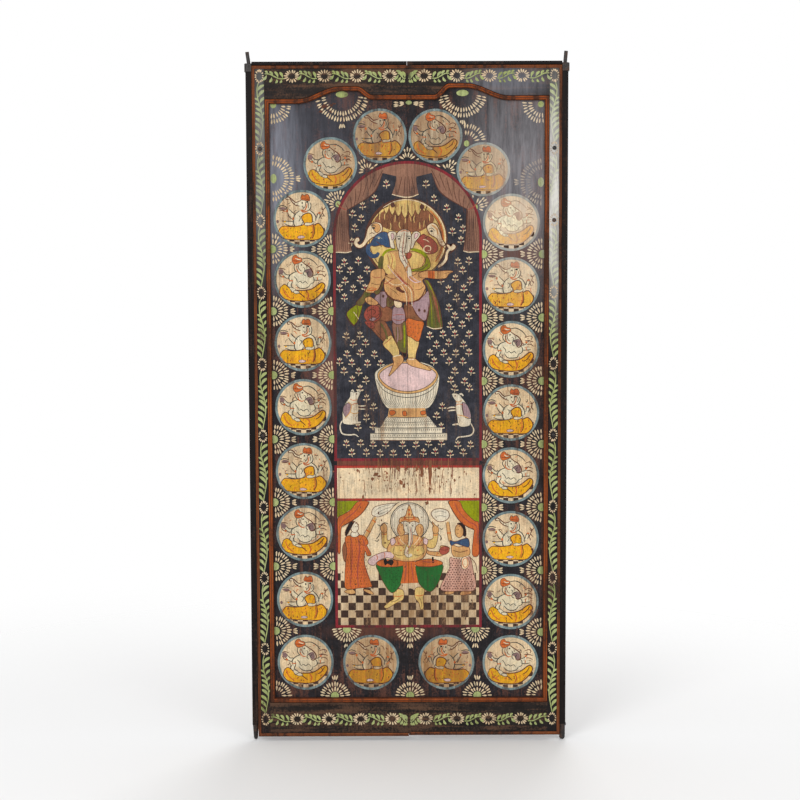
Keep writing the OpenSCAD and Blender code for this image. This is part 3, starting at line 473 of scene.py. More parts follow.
def smooth(points, closed=True, steps=4):  # a curve through the points
    n = len(points)
    at = (lambda i: points[i % n]) if closed else (lambda i: points[min(max(i, 0), n - 1)])
    out = []
    for i in range(n if closed else n - 1):
        corners = list(zip(*(at(i + k) for k in (-1, 0, 1, 2))))
        for k in range(steps):
            t = k / steps
            out.append(tuple(0.5 * (2 * q + (r - p) * t + (2 * p - 5 * q + 4 * r - s) * t * t
                                    + (3 * q - p - 3 * r + s) * t ** 3) for p, q, r, s in corners))
    if not closed:
        out.append(tuple(points[-1]))
    return out


def trimmed(points, side):  # the part of an outline that lies on one leaf
    keep = []
    for i, p in enumerate(points):
        q = points[(i + 1) % len(points)]
        dp, dq = side * p[0] - sheet["seam"], side * q[0] - sheet["seam"]
        if dp >= 0:
            keep.append(p)
        if (dp > 0 and dq < 0) or (dp < 0 and dq > 0):
            t = dp / (dp - dq)
            keep.append((side * sheet["seam"], p[1] + (q[1] - p[1]) * t))
    return keep


def layShape(motif, paint, points, level=1, on="coat"):
    for side in (-1, 1):
        part = trimmed(points, side)
        clean = [p for i, p in enumerate(part) if math.dist(p, part[i - 1]) > sheet["leastEdge"]]
        if len(clean) < 3:
            continue
        area = sum(p[0] * q[1] - q[0] * p[1] for p, q in zip(clean[-1:] + clean, clean))
        if abs(area) < sheet["leastArea"]:
            continue
        if area < 0:
            clean.reverse()
        laid.append((level, motif, paint, side, clean, None, on))


def layLine(motif, paint, points, width, level=1, on="coat", taper=0.45, steps=4):
    path = smooth(points, False, steps) if len(points) > 2 and steps > 1 else list(points)
    n = len(path)
    rows = []
    for i, p in enumerate(path):
        a, b = path[max(i - 1, 0)], path[min(i + 1, n - 1)]
        run = math.dist(a, b) or 1
        share = min(max((i + stroke["from"]) / (n - stroke["to"]), 0), 1)
        w = width / 2 * (taper + (1 - taper) * math.sin(math.pi * share) ** stroke["bulge"])
        rows.append((p, (-(b[1] - a[1]) / run * w, (b[0] - a[0]) / run * w)))
    for side in (-1, 1):  # a stroke over the meeting line is broken there
        part = []
        for i, row in enumerate(rows):
            here = side * row[0][0] - sheet["seam"]
            if i:
                before = rows[i - 1][0]
                last = side * before[0] - sheet["seam"]
                if here * last < 0:
                    z = before[1] + (row[0][1] - before[1]) * (last / (last - here))
                    part.append(((side * sheet["seam"], z), row[1]))
                    if here < 0:
                        storeStroke(motif, paint, side, part, level, on)
                        part = []
            if here >= 0:
                part.append(row)
        storeStroke(motif, paint, side, part, level, on)


def storeStroke(motif, paint, side, rows, level, on):
    if len(rows) < 2:
        return

    def edge(p, off, k):
        return side * max(side * (p[0] + k * off[0]), sheet["seam"]), p[1] + k * off[1]

    front = [edge(p, off, k) for k in (1, -1) for p, off in rows]
    laid.append((level, motif, paint, side, front, len(rows), on))


def oval(x, z, rx, rz, turn=0, count=14):
    c, s = math.cos(math.radians(turn)), math.sin(math.radians(turn))
    out = []
    for k in range(count):
        a = math.tau * k / count
        u, v = rx * math.cos(a), rz * math.sin(a)
        out.append((x + u * c - v * s, z + u * s + v * c))
    return out


def petal(x, z, turn, length, width):  # a drop of paint from its foot to its tip
    c, s = math.cos(turn), math.sin(turn)
    side = ((0.0, 0.2), (0.28, 0.72), (0.62, 1.0), (0.88, 0.62))
    edge = [(t, w / 2) for t, w in side] + [(1.0, 0.0)] + [(t, -w / 2) for t, w in side[::-1]]
    return [(x + t * length * c - w * width * s, z + t * length * s + w * width * c) for t, w in edge]


def pairs(outline):  # flat numbers x, z, x, z as points; a list holds points already
    return outline if isinstance(outline, list) else list(zip(outline[::2], outline[1::2]))


# A picture's rows hold the kind of touch, its paint, its level (with what it lies on, where that differs),
# its width or radii, and one outline or more.
def paintPicture(motif, items, on="coat", middle=(0, 0), flip=1, size=1.0, shake=0.0, rim=brown, edge=0.0):
    for kind, paint, level, value, *outlines in items:
        level, where = level if isinstance(level, tuple) else (level, on)
        for outline in outlines:
            points = smooth(pairs(outline)) if kind == "soft" else pairs(outline)
            spots = [(middle[0] + flip * (x + around(shake)) * size, middle[1] + (z + around(shake)) * size)
                     for x, z in points]
            if kind == "fill":
                loop = smooth(spots)
                layShape(motif, paint, loop, level, where)
                if value or edge:
                    layLine(motif, rim, loop + loop[:1], (value or edge) * size, level + 0.05, where, 1.0, 1)
            elif kind == "line":
                layLine(motif, paint, spots, value * size, level, where)
            elif kind == "dots":
                for x, z in spots:
                    dot = oval(x, z, value[0] * size, value[1] * size, count=10)
                    layShape(motif, paint, dot, level, where)
            elif kind == "ring":
                for x, z in spots:
                    loop = oval(x, z, value[0] * size, value[1] * size, count=22)
                    layLine(motif, paint, loop + loop[:1], value[2] * size, level, where, 1.0, 1)
            else:
                layShape(motif, paint, spots, level, where)


def cellsOf(box, on):
    low, high = [int(c // sheet["cell"]) for c in box[:2]], [int(c // sheet["cell"]) for c in box[2:]]
    return [(on, i, j) for i in range(low[0], high[0] + 1) for j in range(low[1], high[1] + 1)]


def boxOf(points):
    xs, zs = [p[0] for p in points], [p[1] for p in points]
    return min(xs), min(zs), max(xs), max(zs)


def overlap(a, b):
    return a[0] < b[2] and b[0] < a[2] and a[1] < b[3] and b[1] < a[3]


def stackUp():  # each touch lies on those laid before it, from the lowest level up
    cells, piles = {}, {}
    for level, motif, paint, side, front, strip, on in sorted(laid, key=lambda touch: touch[0]):
        parts = [front]
        if strip:
            parts = [front[k:k + 2] + front[strip + k:strip + k + 2] for k in range(strip - 1)]
        spots = [(box, key) for box in map(boxOf, parts) for key in cellsOf(box, on)]
        under = [high for box, key in spots for other, high in cells.get(key, ()) if overlap(other, box)]
        height = max(under, default=0) + 1
        for box, key in spots:
            cells.setdefault(key, []).append((box, height))
        piles.setdefault((motif, paint, side), []).append((front, strip, height, on))
    return piles


def solidFaces(base, n, strip):  # of one touch, with its front's n points first and then its back's
    if strip is None:
        back = [base + n + k for k in range(n - 1, -1, -1)]
        rim = [[base + k, base + n + k, base + n + (k + 1) % n, base + (k + 1) % n] for k in range(n)]
        return [[base + k for k in range(n)], back] + rim
    faces = []
    for k in range(strip - 1):  # a stroke, with its left edge first and then its right one
        a, b, c, d = base + k, base + k + 1, base + strip + k + 1, base + strip + k
        faces += [[a, d, c, b], [a + n, b + n, c + n, d + n], [a, b, b + n, a + n], [d, d + n, c + n, c]]
    left, right = base + strip - 1, base + 2 * strip - 1
    return faces + [[base, base + n, base + strip + n, base + strip], [left, right, right + n, left + n]]


def addPiece(name, verts, faces, look):
    mesh = bpy.data.meshes.new(name)
    mesh.from_pydata(verts, [], faces)
    mesh.materials.append(looks[look])
    return addObject(name, mesh)


def buildPieces():
    made = {}
    highest = 0
    for (motif, paint, side), shapes in stackUp().items():
        verts, faces = [], []
        for points, strip, level, on in shapes:
            highest = max(highest, level)
            faces += solidFaces(len(verts), len(points), strip)
            near = -(ground[on] + sheet["coat"] + sheet["step"] * level)
            for y in (near, -(ground[on] - sheet["sink"])):
                verts += [(x / 1000, y / 1000, (z + sheet["lift"]) / 1000) for x, z in points]
        name = motif + paint[0].upper() + paint[1:] + ("Left" if side < 0 else "Right")
        piece = addPiece(name, verts, faces, paint)
        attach(piece, "left_leaf" if side < 0 else "right_leaf")
        made[(motif, paint, side)] = piece
    print("coats of paint at most:", highest)
    return made


# vine: daisies with leafy stems between them

vine = {"x": 430, "low": 50, "high": 1958, "bow": 8, "count": 10, "railFirst": 50, "railStep": 95,
        "stile": (13.4, 20, 0.6, 14, 3.9), "rail": (23, 19, 0.44, 15, 4.5), "leaf": (25.5, 10.2),
        "stem": 3.2, "half": 13.4, "stileGap": 20, "railGap": 22, "endGap": 16, "middle": (4, 27)}
# of the stile's spray: share of the height with the stem's sway, then with each leaf's size
stileSway = ((0, 0), (0.15, 5), (0.3, 9), (0.45, 8), (0.6, 2), (0.75, -5), (0.9, -6.5), (1.0, -3))
outerLeaves = ((0.0, 0.95), (0.1, 1.0), (0.2, 1.0), (0.3, 0.98), (0.4, 0.9), (0.5, 0.74), (0.6, 0.6),
               (0.7, 0.45))
innerLeaves = ((0.36, 0.42), (0.46, 0.56), (0.56, 0.72), (0.66, 0.88), (0.76, 0.98), (0.87, 0.95))
# of the rail's spray: share of the length with the sway; then leaves with off, turn and length
railSway = ((0, 7), (0.25, 6), (0.5, -1), (0.75, -7), (1.0, -7))
railLeaves = ((0.16, 8, 112, 10), (0.42, 3, 108, 14), (0.68, -3, 104, 18), (0.92, -5, 100, 18),
              (0.1, 3, 250, 17), (0.36, -3, 262, 15), (0.62, -9, 268, 11), (0.86, -10, 268, 10))
leafRows = ((0, 0.1), (0.18, 0.4), (0.4, 0.78), (0.62, 1.0), (0.82, 0.92), (0.95, 0.5), (1.0, 0.0))


def daisy(x, z, rx, rz, hollow, count, width):
    turn = around(0.3)
    for k in range(count):
        a = turn + math.tau * k / count + around(0.07)
        inner, outer = hollow + around(0.04), 1.0 + around(0.06)
        foot = (x + rx * inner * math.cos(a), z + rz * inner * math.sin(a))
        tip = (x + rx * outer * math.cos(a), z + rz * outer * math.sin(a))
        way = math.atan2(tip[1] - foot[1], tip[0] - foot[0])
        drop = petal(*foot, way, math.dist(foot, tip), width + around(0.5))
        layShape("daisies", petalWhite, drop, 1, "board")


def leaf(x, z, turn, length, width, bend, low=None, high=None):  # a comma: pointed foot, round head
    c, s = math.cos(turn), math.sin(turn)
    edge = [(t, w / 2 * width + bend * length * t * t) for t, w in leafRows]
    edge += [(t, -w / 2 * width + bend * length * t * t) for t, w in leafRows[-2::-1]]
    spots = [(x + t * length * c - w * s, z + t * length * s + w * c) for t, w in edge]
    if low is not None:
        spots = [(min(max(p[0], low), high), p[1]) for p in spots]
    layShape("vineLeaves", leafGreen, smooth(spots, True, 2), 1, "board")


def stileSpray(side, low, high):  # leaves on the outer side below, on the inner side above, both between
    v = vine
    span = high - low

    def at(off, t):
        return side * (v["x"] - off), low + span * t

    layLine("vineLeaves", leafGreen, [at(off, t) for t, off in stileSway], v["stem"], 1.3, "board", 0.7)
    edges = sorted((side * (v["x"] - v["half"]), side * (v["x"] + v["half"])))
    for way, group in ((1, outerLeaves), (-1, innerLeaves)):
        for t, scale in group:
            stemAt = sum(off * max(0, 1 - abs(t - k) / 0.15) for k, off in stileSway)
            x, z = at(stemAt - way * 2.2, t)
            turn = math.radians(90 - side * way * (20 + around(5)))
            length = v["leaf"][0] * scale * (1 + around(0.06))
            leaf(x, z, turn, length, v["leaf"][1] * (0.45 + 0.55 * scale),
                 -side * way * (0.42 + around(0.05)), *edges)


def railSpray(x0, x1, z, flip):  # an S from the upper left to the lower right, with leaves in both hollows
    def at(t, off):
        return x0 + (x1 - x0) * (t if flip > 0 else 1 - t), z + off

    layLine("vineLeaves", leafGreen, [at(t, off) for t, off in railSway], vine["stem"], 1.3, "board", 0.7)
    for t, off, turn, length in railLeaves:
        turn = turn + around(8)
        bend = 0.3 if turn < 180 else -0.3
        aim = math.radians(turn if flip > 0 else 180 - turn)
        leaf(*at(t, off), aim, length, 5.2 + length * 0.17, bend * flip)


def layVine(v):
    last = v["count"] - 1
    heights = [v["low"] + (v["high"] - v["low"]) * i / last + v["bow"] * math.sin(math.pi * i / last)
               for i in range(v["count"])]
    spots = [v["railFirst"] + v["railStep"] * i for i in range(5)]
    for side in (-1, 1):
        for z in heights:
            daisy(side * v["x"], z, *v["stile"])
        for low, high in zip(heights, heights[1:]):
            stileSpray(side, low + v["stileGap"], high - v["stileGap"])
        for z in (v["low"], v["high"]):
            for x in spots[:-1]:
                daisy(side * x, z, *v["rail"])
            for x0, x1 in zip(spots, spots[1:]):
                near, far = x0 + v["railGap"], x1 - (v["endGap"] if x1 == spots[-1] else v["railGap"])
                railSpray(*((near, far) if side > 0 else (-far, -near)), z, -side)
    near, far = v["middle"]
    for z in (v["low"], v["high"]):
        railSpray(-far, -near, z, 1)
        railSpray(near, far, z, -1)


layVine(vine)
print("vine laid")


# medallion places, as the solids have them; the pose is 1 or 2, and below 0 if mirrored

rounds = {"radius": 84, "archRadius": 79, "leftX": -309.5, "rightX": 305.5,
          "leftZ": (221, 412.7, 612.4, 799, 990, 1180.6, 1368, 1546), "leftPoses": (2, 1, 2, 1, 2, 1, 2, 1),
          "rightZ": (218, 403.7, 593, 784, 972, 1159.6, 1347, 1533), "rightPoses": (2, 2, 1, 2, 1, 2, 1, 2),
          "low": ((-113, 220, 1), (113, 220, -1)),
          "arch": ((-225, 1704, 2), (-80, 1786, 1), (83, 1785, 2), (223, 1688, 1))}


def medallionPlaces(v):
    places = []
    for word in ("left", "right"):
        places += [(v[word + "X"], z, v["radius"], pose) for z, pose in zip(v[word + "Z"], v[word + "Poses"])]
    places += [(x, z, v["radius"], pose) for x, z, pose in v["low"]]
    return places + [(x, z, v["archRadius"], pose) for x, z, pose in v["arch"]]


medallions = medallionPlaces(rounds)


# fans of short petals round a green bud, between the medallions

panel = {"half": 399, "foot": 117, "niche": 223, "nicheFoot": 326, "archZ": 1494, "shift": 11, "tilt": 4,
         "crown": 1897, "rise": 29, "riseAt": 90, "riseOver": 46, "crestAt": 182, "fall": 36, "fallOver": 128,
         "clear": 10}
# a fan has its rows' radii, half its angle in degrees and, where there is one, its tip's distance
fans = {"petal": (14.2, 4.8), "pitch": 8.0, "clear": 0.8, "tipGap": 3.8, "budRadius": 12, "budSides": 28,
        "beadX": 402, "nicheX": 219, "footZ": 114, "sceneZ": 326, "outerX": (396, 398), "innerX": 223,
        "cornerAt": (398, 119), "shoulderX": (398, 392), "crestX": (394, 391), "crestZ": (1878, 1876),
        "footX": (-222, 4, 206), "footAt": (116, 118), "sceneX": (-185, 4, 200), "sceneAt": (325, 322),
        "middleAt": (5, 1882), "rightArchAt": (174, 1763),
        "outer": ((15, 31), 88, 50), "inner": ((14, 29), 86, 46), "corner": ((16, 32), 44, 50),
        "shoulder": ((37, 54), 84, 71), "shoulderUp": 117, "crestCorner": ((27, 43), 48),
        "foot": ((15, 31), 84, 50), "scene": ((15, 30), 84, 48), "middleEnd": ((14, 30), 9),
        "rightArch": ((24, 44), 46), "arch": 80, "crest": 80, "crestTip": 20}
crestFans = ((-190, 1906, (48, 65)), (162, 1909, (42, 58)))
archFans = ((-118, 1684, 112, (10, 25), False), (0, 1712, 90, (12, 27), False),
            (118, 1682, 68, (10, 25), False), (-203, 1588, 146, (13, 28), True),
            (199, 1578, 34, (13, 28), True))


def easing(t):
    return (1 - math.cos(math.pi * min(max(t, 0), 1))) / 2


def inPanel(x, z):
    p = panel
    if abs(x) > p["half"] or z < p["foot"]:
        return False
    if any(math.dist((x, z), (m[0], m[1])) < m[2] + fans["clear"] for m in medallions):
        return False
    if abs(x) < p["niche"] and (p["nicheFoot"] < z < p["archZ"]
                                or math.dist((x, z), (0, p["archZ"])) < p["niche"] and z >= p["archZ"]):
        return False
    side = 1 if x > 0 else -1
    u, tilt = abs(x) + side * p["shift"], side * p["tilt"]  # the bead's line along the ogee
    if u < p["crestAt"]:
        line = p["crown"] + (p["rise"] + tilt) * easing((u - p["riseAt"]) / p["riseOver"])
    else:
        line = p["crown"] + p["rise"] + tilt - p["fall"] * easing((u - p["crestAt"]) / p["fallOver"])
    return z < line - p["clear"]


def fan(x, z, aim, rows, spreadDeg, tipAt=None):
    length, width = fans["petal"]
    reach, ahead = math.radians(spreadDeg), math.radians(aim)
    feet = []
    for radius in rows:
        count = max(2, round(2 * reach * (radius + length / 2) / fans["pitch"]))
        for k in range(count + 1):
            a = ahead - reach + 2 * reach * k / count + around(0.02)
            feet.append((*polar(radius, a, x, z), a + around(0.1)))
    for off in (-1, 0, 1) if tipAt else ():
        px, pz = polar(tipAt, ahead, x, z)
        gap = off * fans["tipGap"]
        feet.append((px - gap * math.sin(ahead), pz + gap * math.cos(ahead), ahead + 0.3 * off))
    for px, pz, a in feet:
        full = length * (1 + around(0.12))
        for part in (1, 0.8, 0.6):  # shorter where a ring or the bead is near
            if inPanel(px, pz) and inPanel(*polar(full * part, a, px, pz)):
                drop = petal(px, pz, a, full * part, width * (1 + around(0.15)))
                layShape("fanPetals", petalWhite, drop, 1, "panel")
                break


def bud(x, z, rx, rz):
    layShape("fanBuds", leafGreen, oval(x, z, rx, rz), 1, "panel")


def edgeBud(x, z, cut):  # a round bud cut off by the edge that it sits on
    full = oval(x, z, fans["budRadius"], fans["budRadius"], 0, fans["budSides"])
    layShape("fanBuds", leafGreen, [cut(*spot) for spot in full], 1, "panel")


def layFans(f):
    for side, heights in ((-1, rounds["leftZ"]), (1, rounds["rightZ"])):
        inward, outward = (180, 0) if side > 0 else (0, 180)
        for i, (low, high) in enumerate(zip(heights, heights[1:])):
            z = (low + high) / 2
            fan(side * f["outerX"][0], z, inward, *f["outer"])
            edgeBud(side * f["outerX"][1], z, lambda x, z: (side * min(abs(x), f["beadX"]), z))
            if i:  # the lowest inner fan is left out
                fan(side * f["innerX"], z, outward, *f["inner"])
                edgeBud(side * f["innerX"], z, lambda x, z: (side * max(abs(x), f["nicheX"]), z))
        fan(side * f["cornerAt"][0], f["cornerAt"][1], 90 + side * 45, *f["corner"])
        shoulder = heights[-1] + f["shoulderUp"]
        fan(side * f["shoulderX"][0], shoulder, inward, *f["shoulder"])
        bud(side * f["shoulderX"][1], shoulder, 9, 14)
        fan(side * f["crestX"][0], f["crestZ"][0], 270 - side * 45, *f["crestCorner"])
        bud(side * f["crestX"][1], f["crestZ"][1], 9, 9)
    for x in f["footX"]:
        fan(x, f["footAt"][0], 90, *f["foot"])
        edgeBud(x, f["footAt"][1], lambda x, z: (x, max(z, f["footZ"])))
    for x in f["sceneX"]:
        fan(x, f["sceneAt"][0], 270, *f["scene"])
        edgeBud(x, f["sceneAt"][1], lambda x, z: (x, min(z, f["sceneZ"])))
    for x, z, rows in crestFans:
        bud(x, z, 18, 9)
        fan(x, z, 270, rows, f["crest"], rows[1] + f["crestTip"])
    for aim in (188, 352):  # only the ends of the middle fan are left
        fan(*f["middleAt"], aim, *f["middleEnd"])
    bud(*f["middleAt"], 9, 6)
    fan(*f["rightArchAt"], 50, *f["rightArch"])
    bud(*f["rightArchAt"], 8, 9)
    for x, z, aim, rows, budded in archFans:
        fan(x, z, aim, rows, f["arch"])
        if budded:
            bud(x, z, 8, 9)


layFans(fans)
print("fans laid")

# the figure in each medallion, in two poses; measures from the medallion's middle

raisedKnee = pairs((-71, -41, -52, -59, 12, -63, 50, -60, 65, -36, 50, -15, 33, -18, 29, 10, 14, 15, -1, 4,
                    5, -16, -28, -23, -58, -22))
levelSeat = pairs((-64, -22, -67, -43, -43, -60, 15, -64, 46, -50, 66, -22, 56, -9, 27, -28, -3, -33,
                   -33, -28, -52, -15))
top = "second"
poseRaised = [
    ("fill", skin, 1, 0, (-7, 24, -17, 16, -25, 4, -24, -16, -16, -25, 2, -20, 36, -14, 40, -4, 38, 6, 32,
      17, 22, 25, 8, 22)),
    ("line", skin, 1, 9, (-20, 6, -30, 12, -39, 24), (-22, -12, -38, -14, -54, -11)),
    ("line", skin, 1, 8, (36, 8, 44, 0, 50, 12)),
    ("fill", skin, 1.6, 0, (-3, 52, -16, 47, -24, 51, -33, 60, -40, 63, -46, 61, -45, 56, -38, 58, -33, 54,
      -27, 46, -18, 40, -8, 37)),
    ("fill", skin, 2, 0, (2, 55, 12, 53, 22, 49, 27, 40, 25, 29, 16, 22, 5, 22, -4, 29, -8, 38, -5, 48)),
    ("line", ink, 2.6, 2.6, (24, 47, 27, 38, 24, 28, 16, 22)),
    ("line", brown, 3, 3.4, (-2, 53, -16, 48, -24, 52, -33, 60, -40, 63, -46, 61, -45, 56, -39, 56)),
    ("line", brown, 3, 2.9, (-6, 37, -18, 40, -27, 46, -33, 54, -37, 58)),
    ("fill", orange, 3, 1.4, (-3, 60, -2, 66, 2, 71, 7, 67, 14, 71, 20, 68, 24, 59, 22, 52, 12, 52, 0, 55)),
    ("line", orange, 3, 3.4, (15, 45, 14, 33, 7, 24, -2, 26)),
    ("line", orange, 3, 4.2, (-3, 24, 6, 19, 17, 22)),
    ("dots", black, 4, (3.8, 2.3), (15, 48)),
    ("dots", ink, 3.4, (2.4, 2.6), (2, 46)),
    ("line", ink, 3.2, 1.9, (0, 36, 5, 32, 4, 28)),
    ("line", brown, 3.2, 2.2, (9, 50, 11, 42, 9, 34, 4, 29)),
    ("line", ink, 3.2, 2, (19, 46, 21, 38, 18, 30)),
    ("line", brown, 3.2, 1.8, (-12, 44, -14, 41, -13, 38), (-20, 47, -22, 44, -20, 41)),
    ("line", brown, 3.4, 1.8, (0, 58, 11, 57, 22, 56)),
    ("line", ink, 2, 2.9, (-7, 23, -17, 16, -24, 4, -24, -15, -16, -24, -5, -22, 3, -11), (22, 25, 33, 17,
      40, 4, 40, -7)),
    ("line", ink, 2, 2.4, (-18, 10, -28, 20, -36, 28), (-26, -3, -35, 4, -42, 16), (-24, -8, -42, -8, -57,
      -7), (-22, -22, -39, -20, -52, -14)),
    ("line", ink, 2, 2.2, (-10, 10, -4, 2, -10, -8), (-4, 8, 2, 2, 0, -6)),
    ("line", ink, 2, 2.4, (44, 2, 46, 14, 52, 20)),
    ("line", ink, 2, 2.2, (50, 0, 54, 10, 50, 18)),
    ("dots", orange, 2.4, (3, 4), (-43, 22, -25, 0)),
    ("dots", orange, 2.4, (4.6, 2.2), (51, 17)),
    ("dots", ochre, 2.2, (3.4, 2.4), (-50, -10)),
    ("line", ink, 2, 2.6, (-70, 34, -58, 38, -44, 34)),
    ("fill", mauve, 1.8, 0, (-68, 31, -56, 34, -46, 30, -54, 26, -64, 27)),
    ("line", brown, 2, 2.4, (-66, 26, -54, 25, -45, 28)),
    ("dots", mauve, 2, (4, 5), (-71, -9)),
    ("line", brown, 2, 2.6, (58, 34, 62, 24, 60, 16, 67, 6)),
    ("line", brown, 2, 2.4, (69, 33, 62, 26, 56, 29)),
    ("line", brown, 2, 2.2, (60, 16, 56, 6, 60, -2)),
    ("line", brown, (1, top), 2.9, raisedKnee + raisedKnee[:1]),
    ("line", orange, (1.6, top), 3, (4, -16, 20, -20, 33, -17)),
    ("line", brown, (1.6, top), 2.9, (34, -18, 37, -40, 30, -58)),
    ("line", orange, (1.6, top), 3, (31, -20, 33, -40, 27, -58)),
    ("fill", skin, (2, top), 1.4, (8, -14, 16, -12, 27, -13, 34, -8, 34, -15, 24, -20, 10, -20)),
    ("fill", pink, (2, top), 1.2, (-12, -52, -2, -50, 8, -54, 0, -58, -11, -57)),
]
poseLevel = [
    ("fill", skin, 1, 0, (-39, 6, -30, 17, -17, 22, 4, 20, 22, 14, 32, 4, 33, -8, 26, -20, 17, -24, 4, -27,
      -9, -25, -20, -16, -30, -12, -38, -6)),
    ("line", skin, 1, 10, (-37, 2, -37, -10, -39, -18, -32, -28)),
    ("line", skin, 1, 8, (-34, 10, -46, 9, -57, 19), (28, 6, 40, 10, 50, 22)),
    ("line", skin, 1, 7, (28, 0, 42, 1, 56, 3)),
    ("fill", skin, 2, 0, (-16, 48, -4, 51, 4, 48, 14, 40, 24, 34, 30, 26, 30, 12, 22, 7, 12, 12, 4, 20, -4,
      19, -13, 21, -18, 30, -19, 39)),
    ("fill", mauve, 2.4, 0, (6, 24, 14, 30, 22, 31, 28, 24, 28, 13, 22, 8, 15, 11, 12, 18)),
    ("line", brown, 3, 3.6, (-1, 52, 9, 44, 20, 37, 28, 28, 31.6, 19.6, 29.4, 11, 22, 6.5, 16, 10)),
    ("line", ink, 3, 2.4, (16, 29, 7, 25, 4, 16, 10, 10)),
    ("line", ink, 3, 2.2, (20, 24, 14, 18, 18, 13)),
    ("fill", orange, 3, 1.4, (-27, 68, -18, 71, -13, 65, -3, 62, -1, 54, -6, 50, -15, 46, -25, 46, -31,
      57)),
    ("line", orange, 3, 3.2, (-15, 41, -17, 31, -13, 22, -6, 18, 2, 19)),
    ("line", ink, 3.4, 2.4, (-22, 45, -25, 36, -22, 27, -15, 21)),
    ("dots", ink, 3.6, (2.8, 2.2), (-3, 43)),
    ("line", ink, 3.4, 1.9, (2, 36, 7, 32, 4, 27)),
    ("line", brown, 3.4, 2.2, (-9, 47, -11, 38, -9, 29, -3, 24)),
    ("line", ink, 3.4, 2, (-15, 44, -17, 36, -14, 28)),
    ("line", brown, 3.4, 1.8, (10, 39, 13, 36, 12, 32)),
    ("line", brown, 3.6, 1.8, (-28, 56, -16, 54, -3, 57)),
    ("line", skin, 3.5, 3, (-20, 62, -12, 58, -5, 58)),
    ("line", ink, 2, 2.9, (-17, 22, -30, 17.5, -39, 9, -40, 0, -37, -8)),
    ("line", ink, 2, 2.4, (-32, 3, -30, -8, -34, -18, -27, -27), (-41, -8, -45, -17, -37, -29), (-38, 5,
      -48, 4, -60, 15), (-36, 14, -47, 14, -56, 24)),
    ("line", ink, 2, 2.6, (-20, -13, -10, -24, 4, -26.5, 17.5, -22.5, 23, -13)),
    ("line", ink, 2, 2.2, (-14, -10, -6, -6, 0, -11, 9, -6, 16, -13), (-25, 8, -18, 0, -15, -9)),
    ("line", ink, 2, 2.4, (24, 14, 33, 5, 34, -7, 24, -14), (32, -2, 44, -3, 58, -1), (32, 12, 42, 15, 53,
      27)),
    ("line", brown, 2, 2.6, (40, 24, 52, 25, 66, 21)),
    ("line", brown, 2, 2.4, (42, 35, 54, 40, 62, 36, 58, 28), (46, 15, 58, 14, 66, 8)),
    ("line", ink, 2, 2.6, (-2, 60, 16, 62, 34, 52, 44, 40)),
    ("line", brown, 2, 2.4, (-72, 30, -62, 33, -50, 29), (-70, 20, -64, 10, -54, 6)),
    ("fill", mauve, 1.8, 0, (-70, 28, -60, 30, -55, 22, -60, 14, -68, 18)),
    ("dots", orange, 2.2, (3.4, 3), (-57, 8, 46, 20)),
    ("line", orange, 2.6, 3.6, (-40, -3, -28, -4)),
    ("line", orange, 2.6, 3.2, (44, 7, 45, -2)),
    ("line", brown, (1, top), 3.1, levelSeat + levelSeat[:1]),
    ("line", orange, (1.6, top), 3.4, (-58, -24, -50, -42, -34, -56)),
    ("line", brown, (1.6, top), 2.9, (-33, -29, -8, -42, 6, -54)),
    ("line", orange, (1.6, top), 4, (12, -34, 18, -46, 14, -60)),
    ("line", brown, (1.6, top), 2.6, (58, -13, 48, -28, 36, -36)),
    ("fill", skin, (2, top), 1.4, (-38, -24, -30, -24, -21, -31, -22, -38, -31, -36)),
    ("fill", skin, (2.6, top), 1.6, (-27, -34, -16, -33, -9, -38, -14, -42, -24, -40)),
]
# the floor's squares: columns from the left, levels of the rows, the columns that the seat hides
checks = {"left": -82.5, "pitch": 15, "columns": 11, "levels": (-78, -67, -55, -42, -28), "seat": (2, 8),
          "reach": 77, "rim": 76.6, "steps": 6}
touches = {"strokes": 34, "far": (22, 48), "within": 68, "up": 6, "squash": 0.8, "run": (4, 9), "curl": 0.9,
           "width": (1.2, 1.2), "specks": 90, "speckX": 66, "speckZ": (-24, 40), "drift": 4,
           "drop": (2.5, 4), "speckWidth": (1.6, 1)}


def insideOf(spot, loop):
    hit = False
    for i, (x1, z1) in enumerate(loop):
        x0, z0 = loop[i - 1]
        if (z1 > spot[1]) != (z0 > spot[1]) and spot[0] < x1 + (spot[1] - z1) * (x0 - x1) / (z0 - z1):
            hit = not hit
    return hit


def pulledIn(x, z):  # to the ring
    share = min(1, checks["rim"] / math.hypot(x, z))
    return x * share, z * share


def roundChecks(placed):  # the chequered floor that shows below the seat, cut off by the ring
    v = checks
    for r, (z0, z1) in enumerate(zip(v["levels"], v["levels"][1:])):
        for c in range(v["columns"]):
            x0, x1 = v["left"] + v["pitch"] * c, v["left"] + v["pitch"] * (c + 1)
            hidden = r > 1 and v["seat"][0] <= c <= v["seat"][1]
            if (r + c) % 2 or hidden or math.hypot((x0 + x1) / 2, (z0 + z1) / 2) > v["reach"]:
                continue
            loop = ((x0, z0), (x1, z0), (x1, z1), (x0, z1), (x0, z0))
            rim = [pulledIn(a + (e - a) * k / v["steps"], b + (f - b) * k / v["steps"])
                   for (a, b), (e, f) in zip(loop, loop[1:]) for k in range(v["steps"])]
            layShape("medallionFigures", check, placed(rim), 0.6)


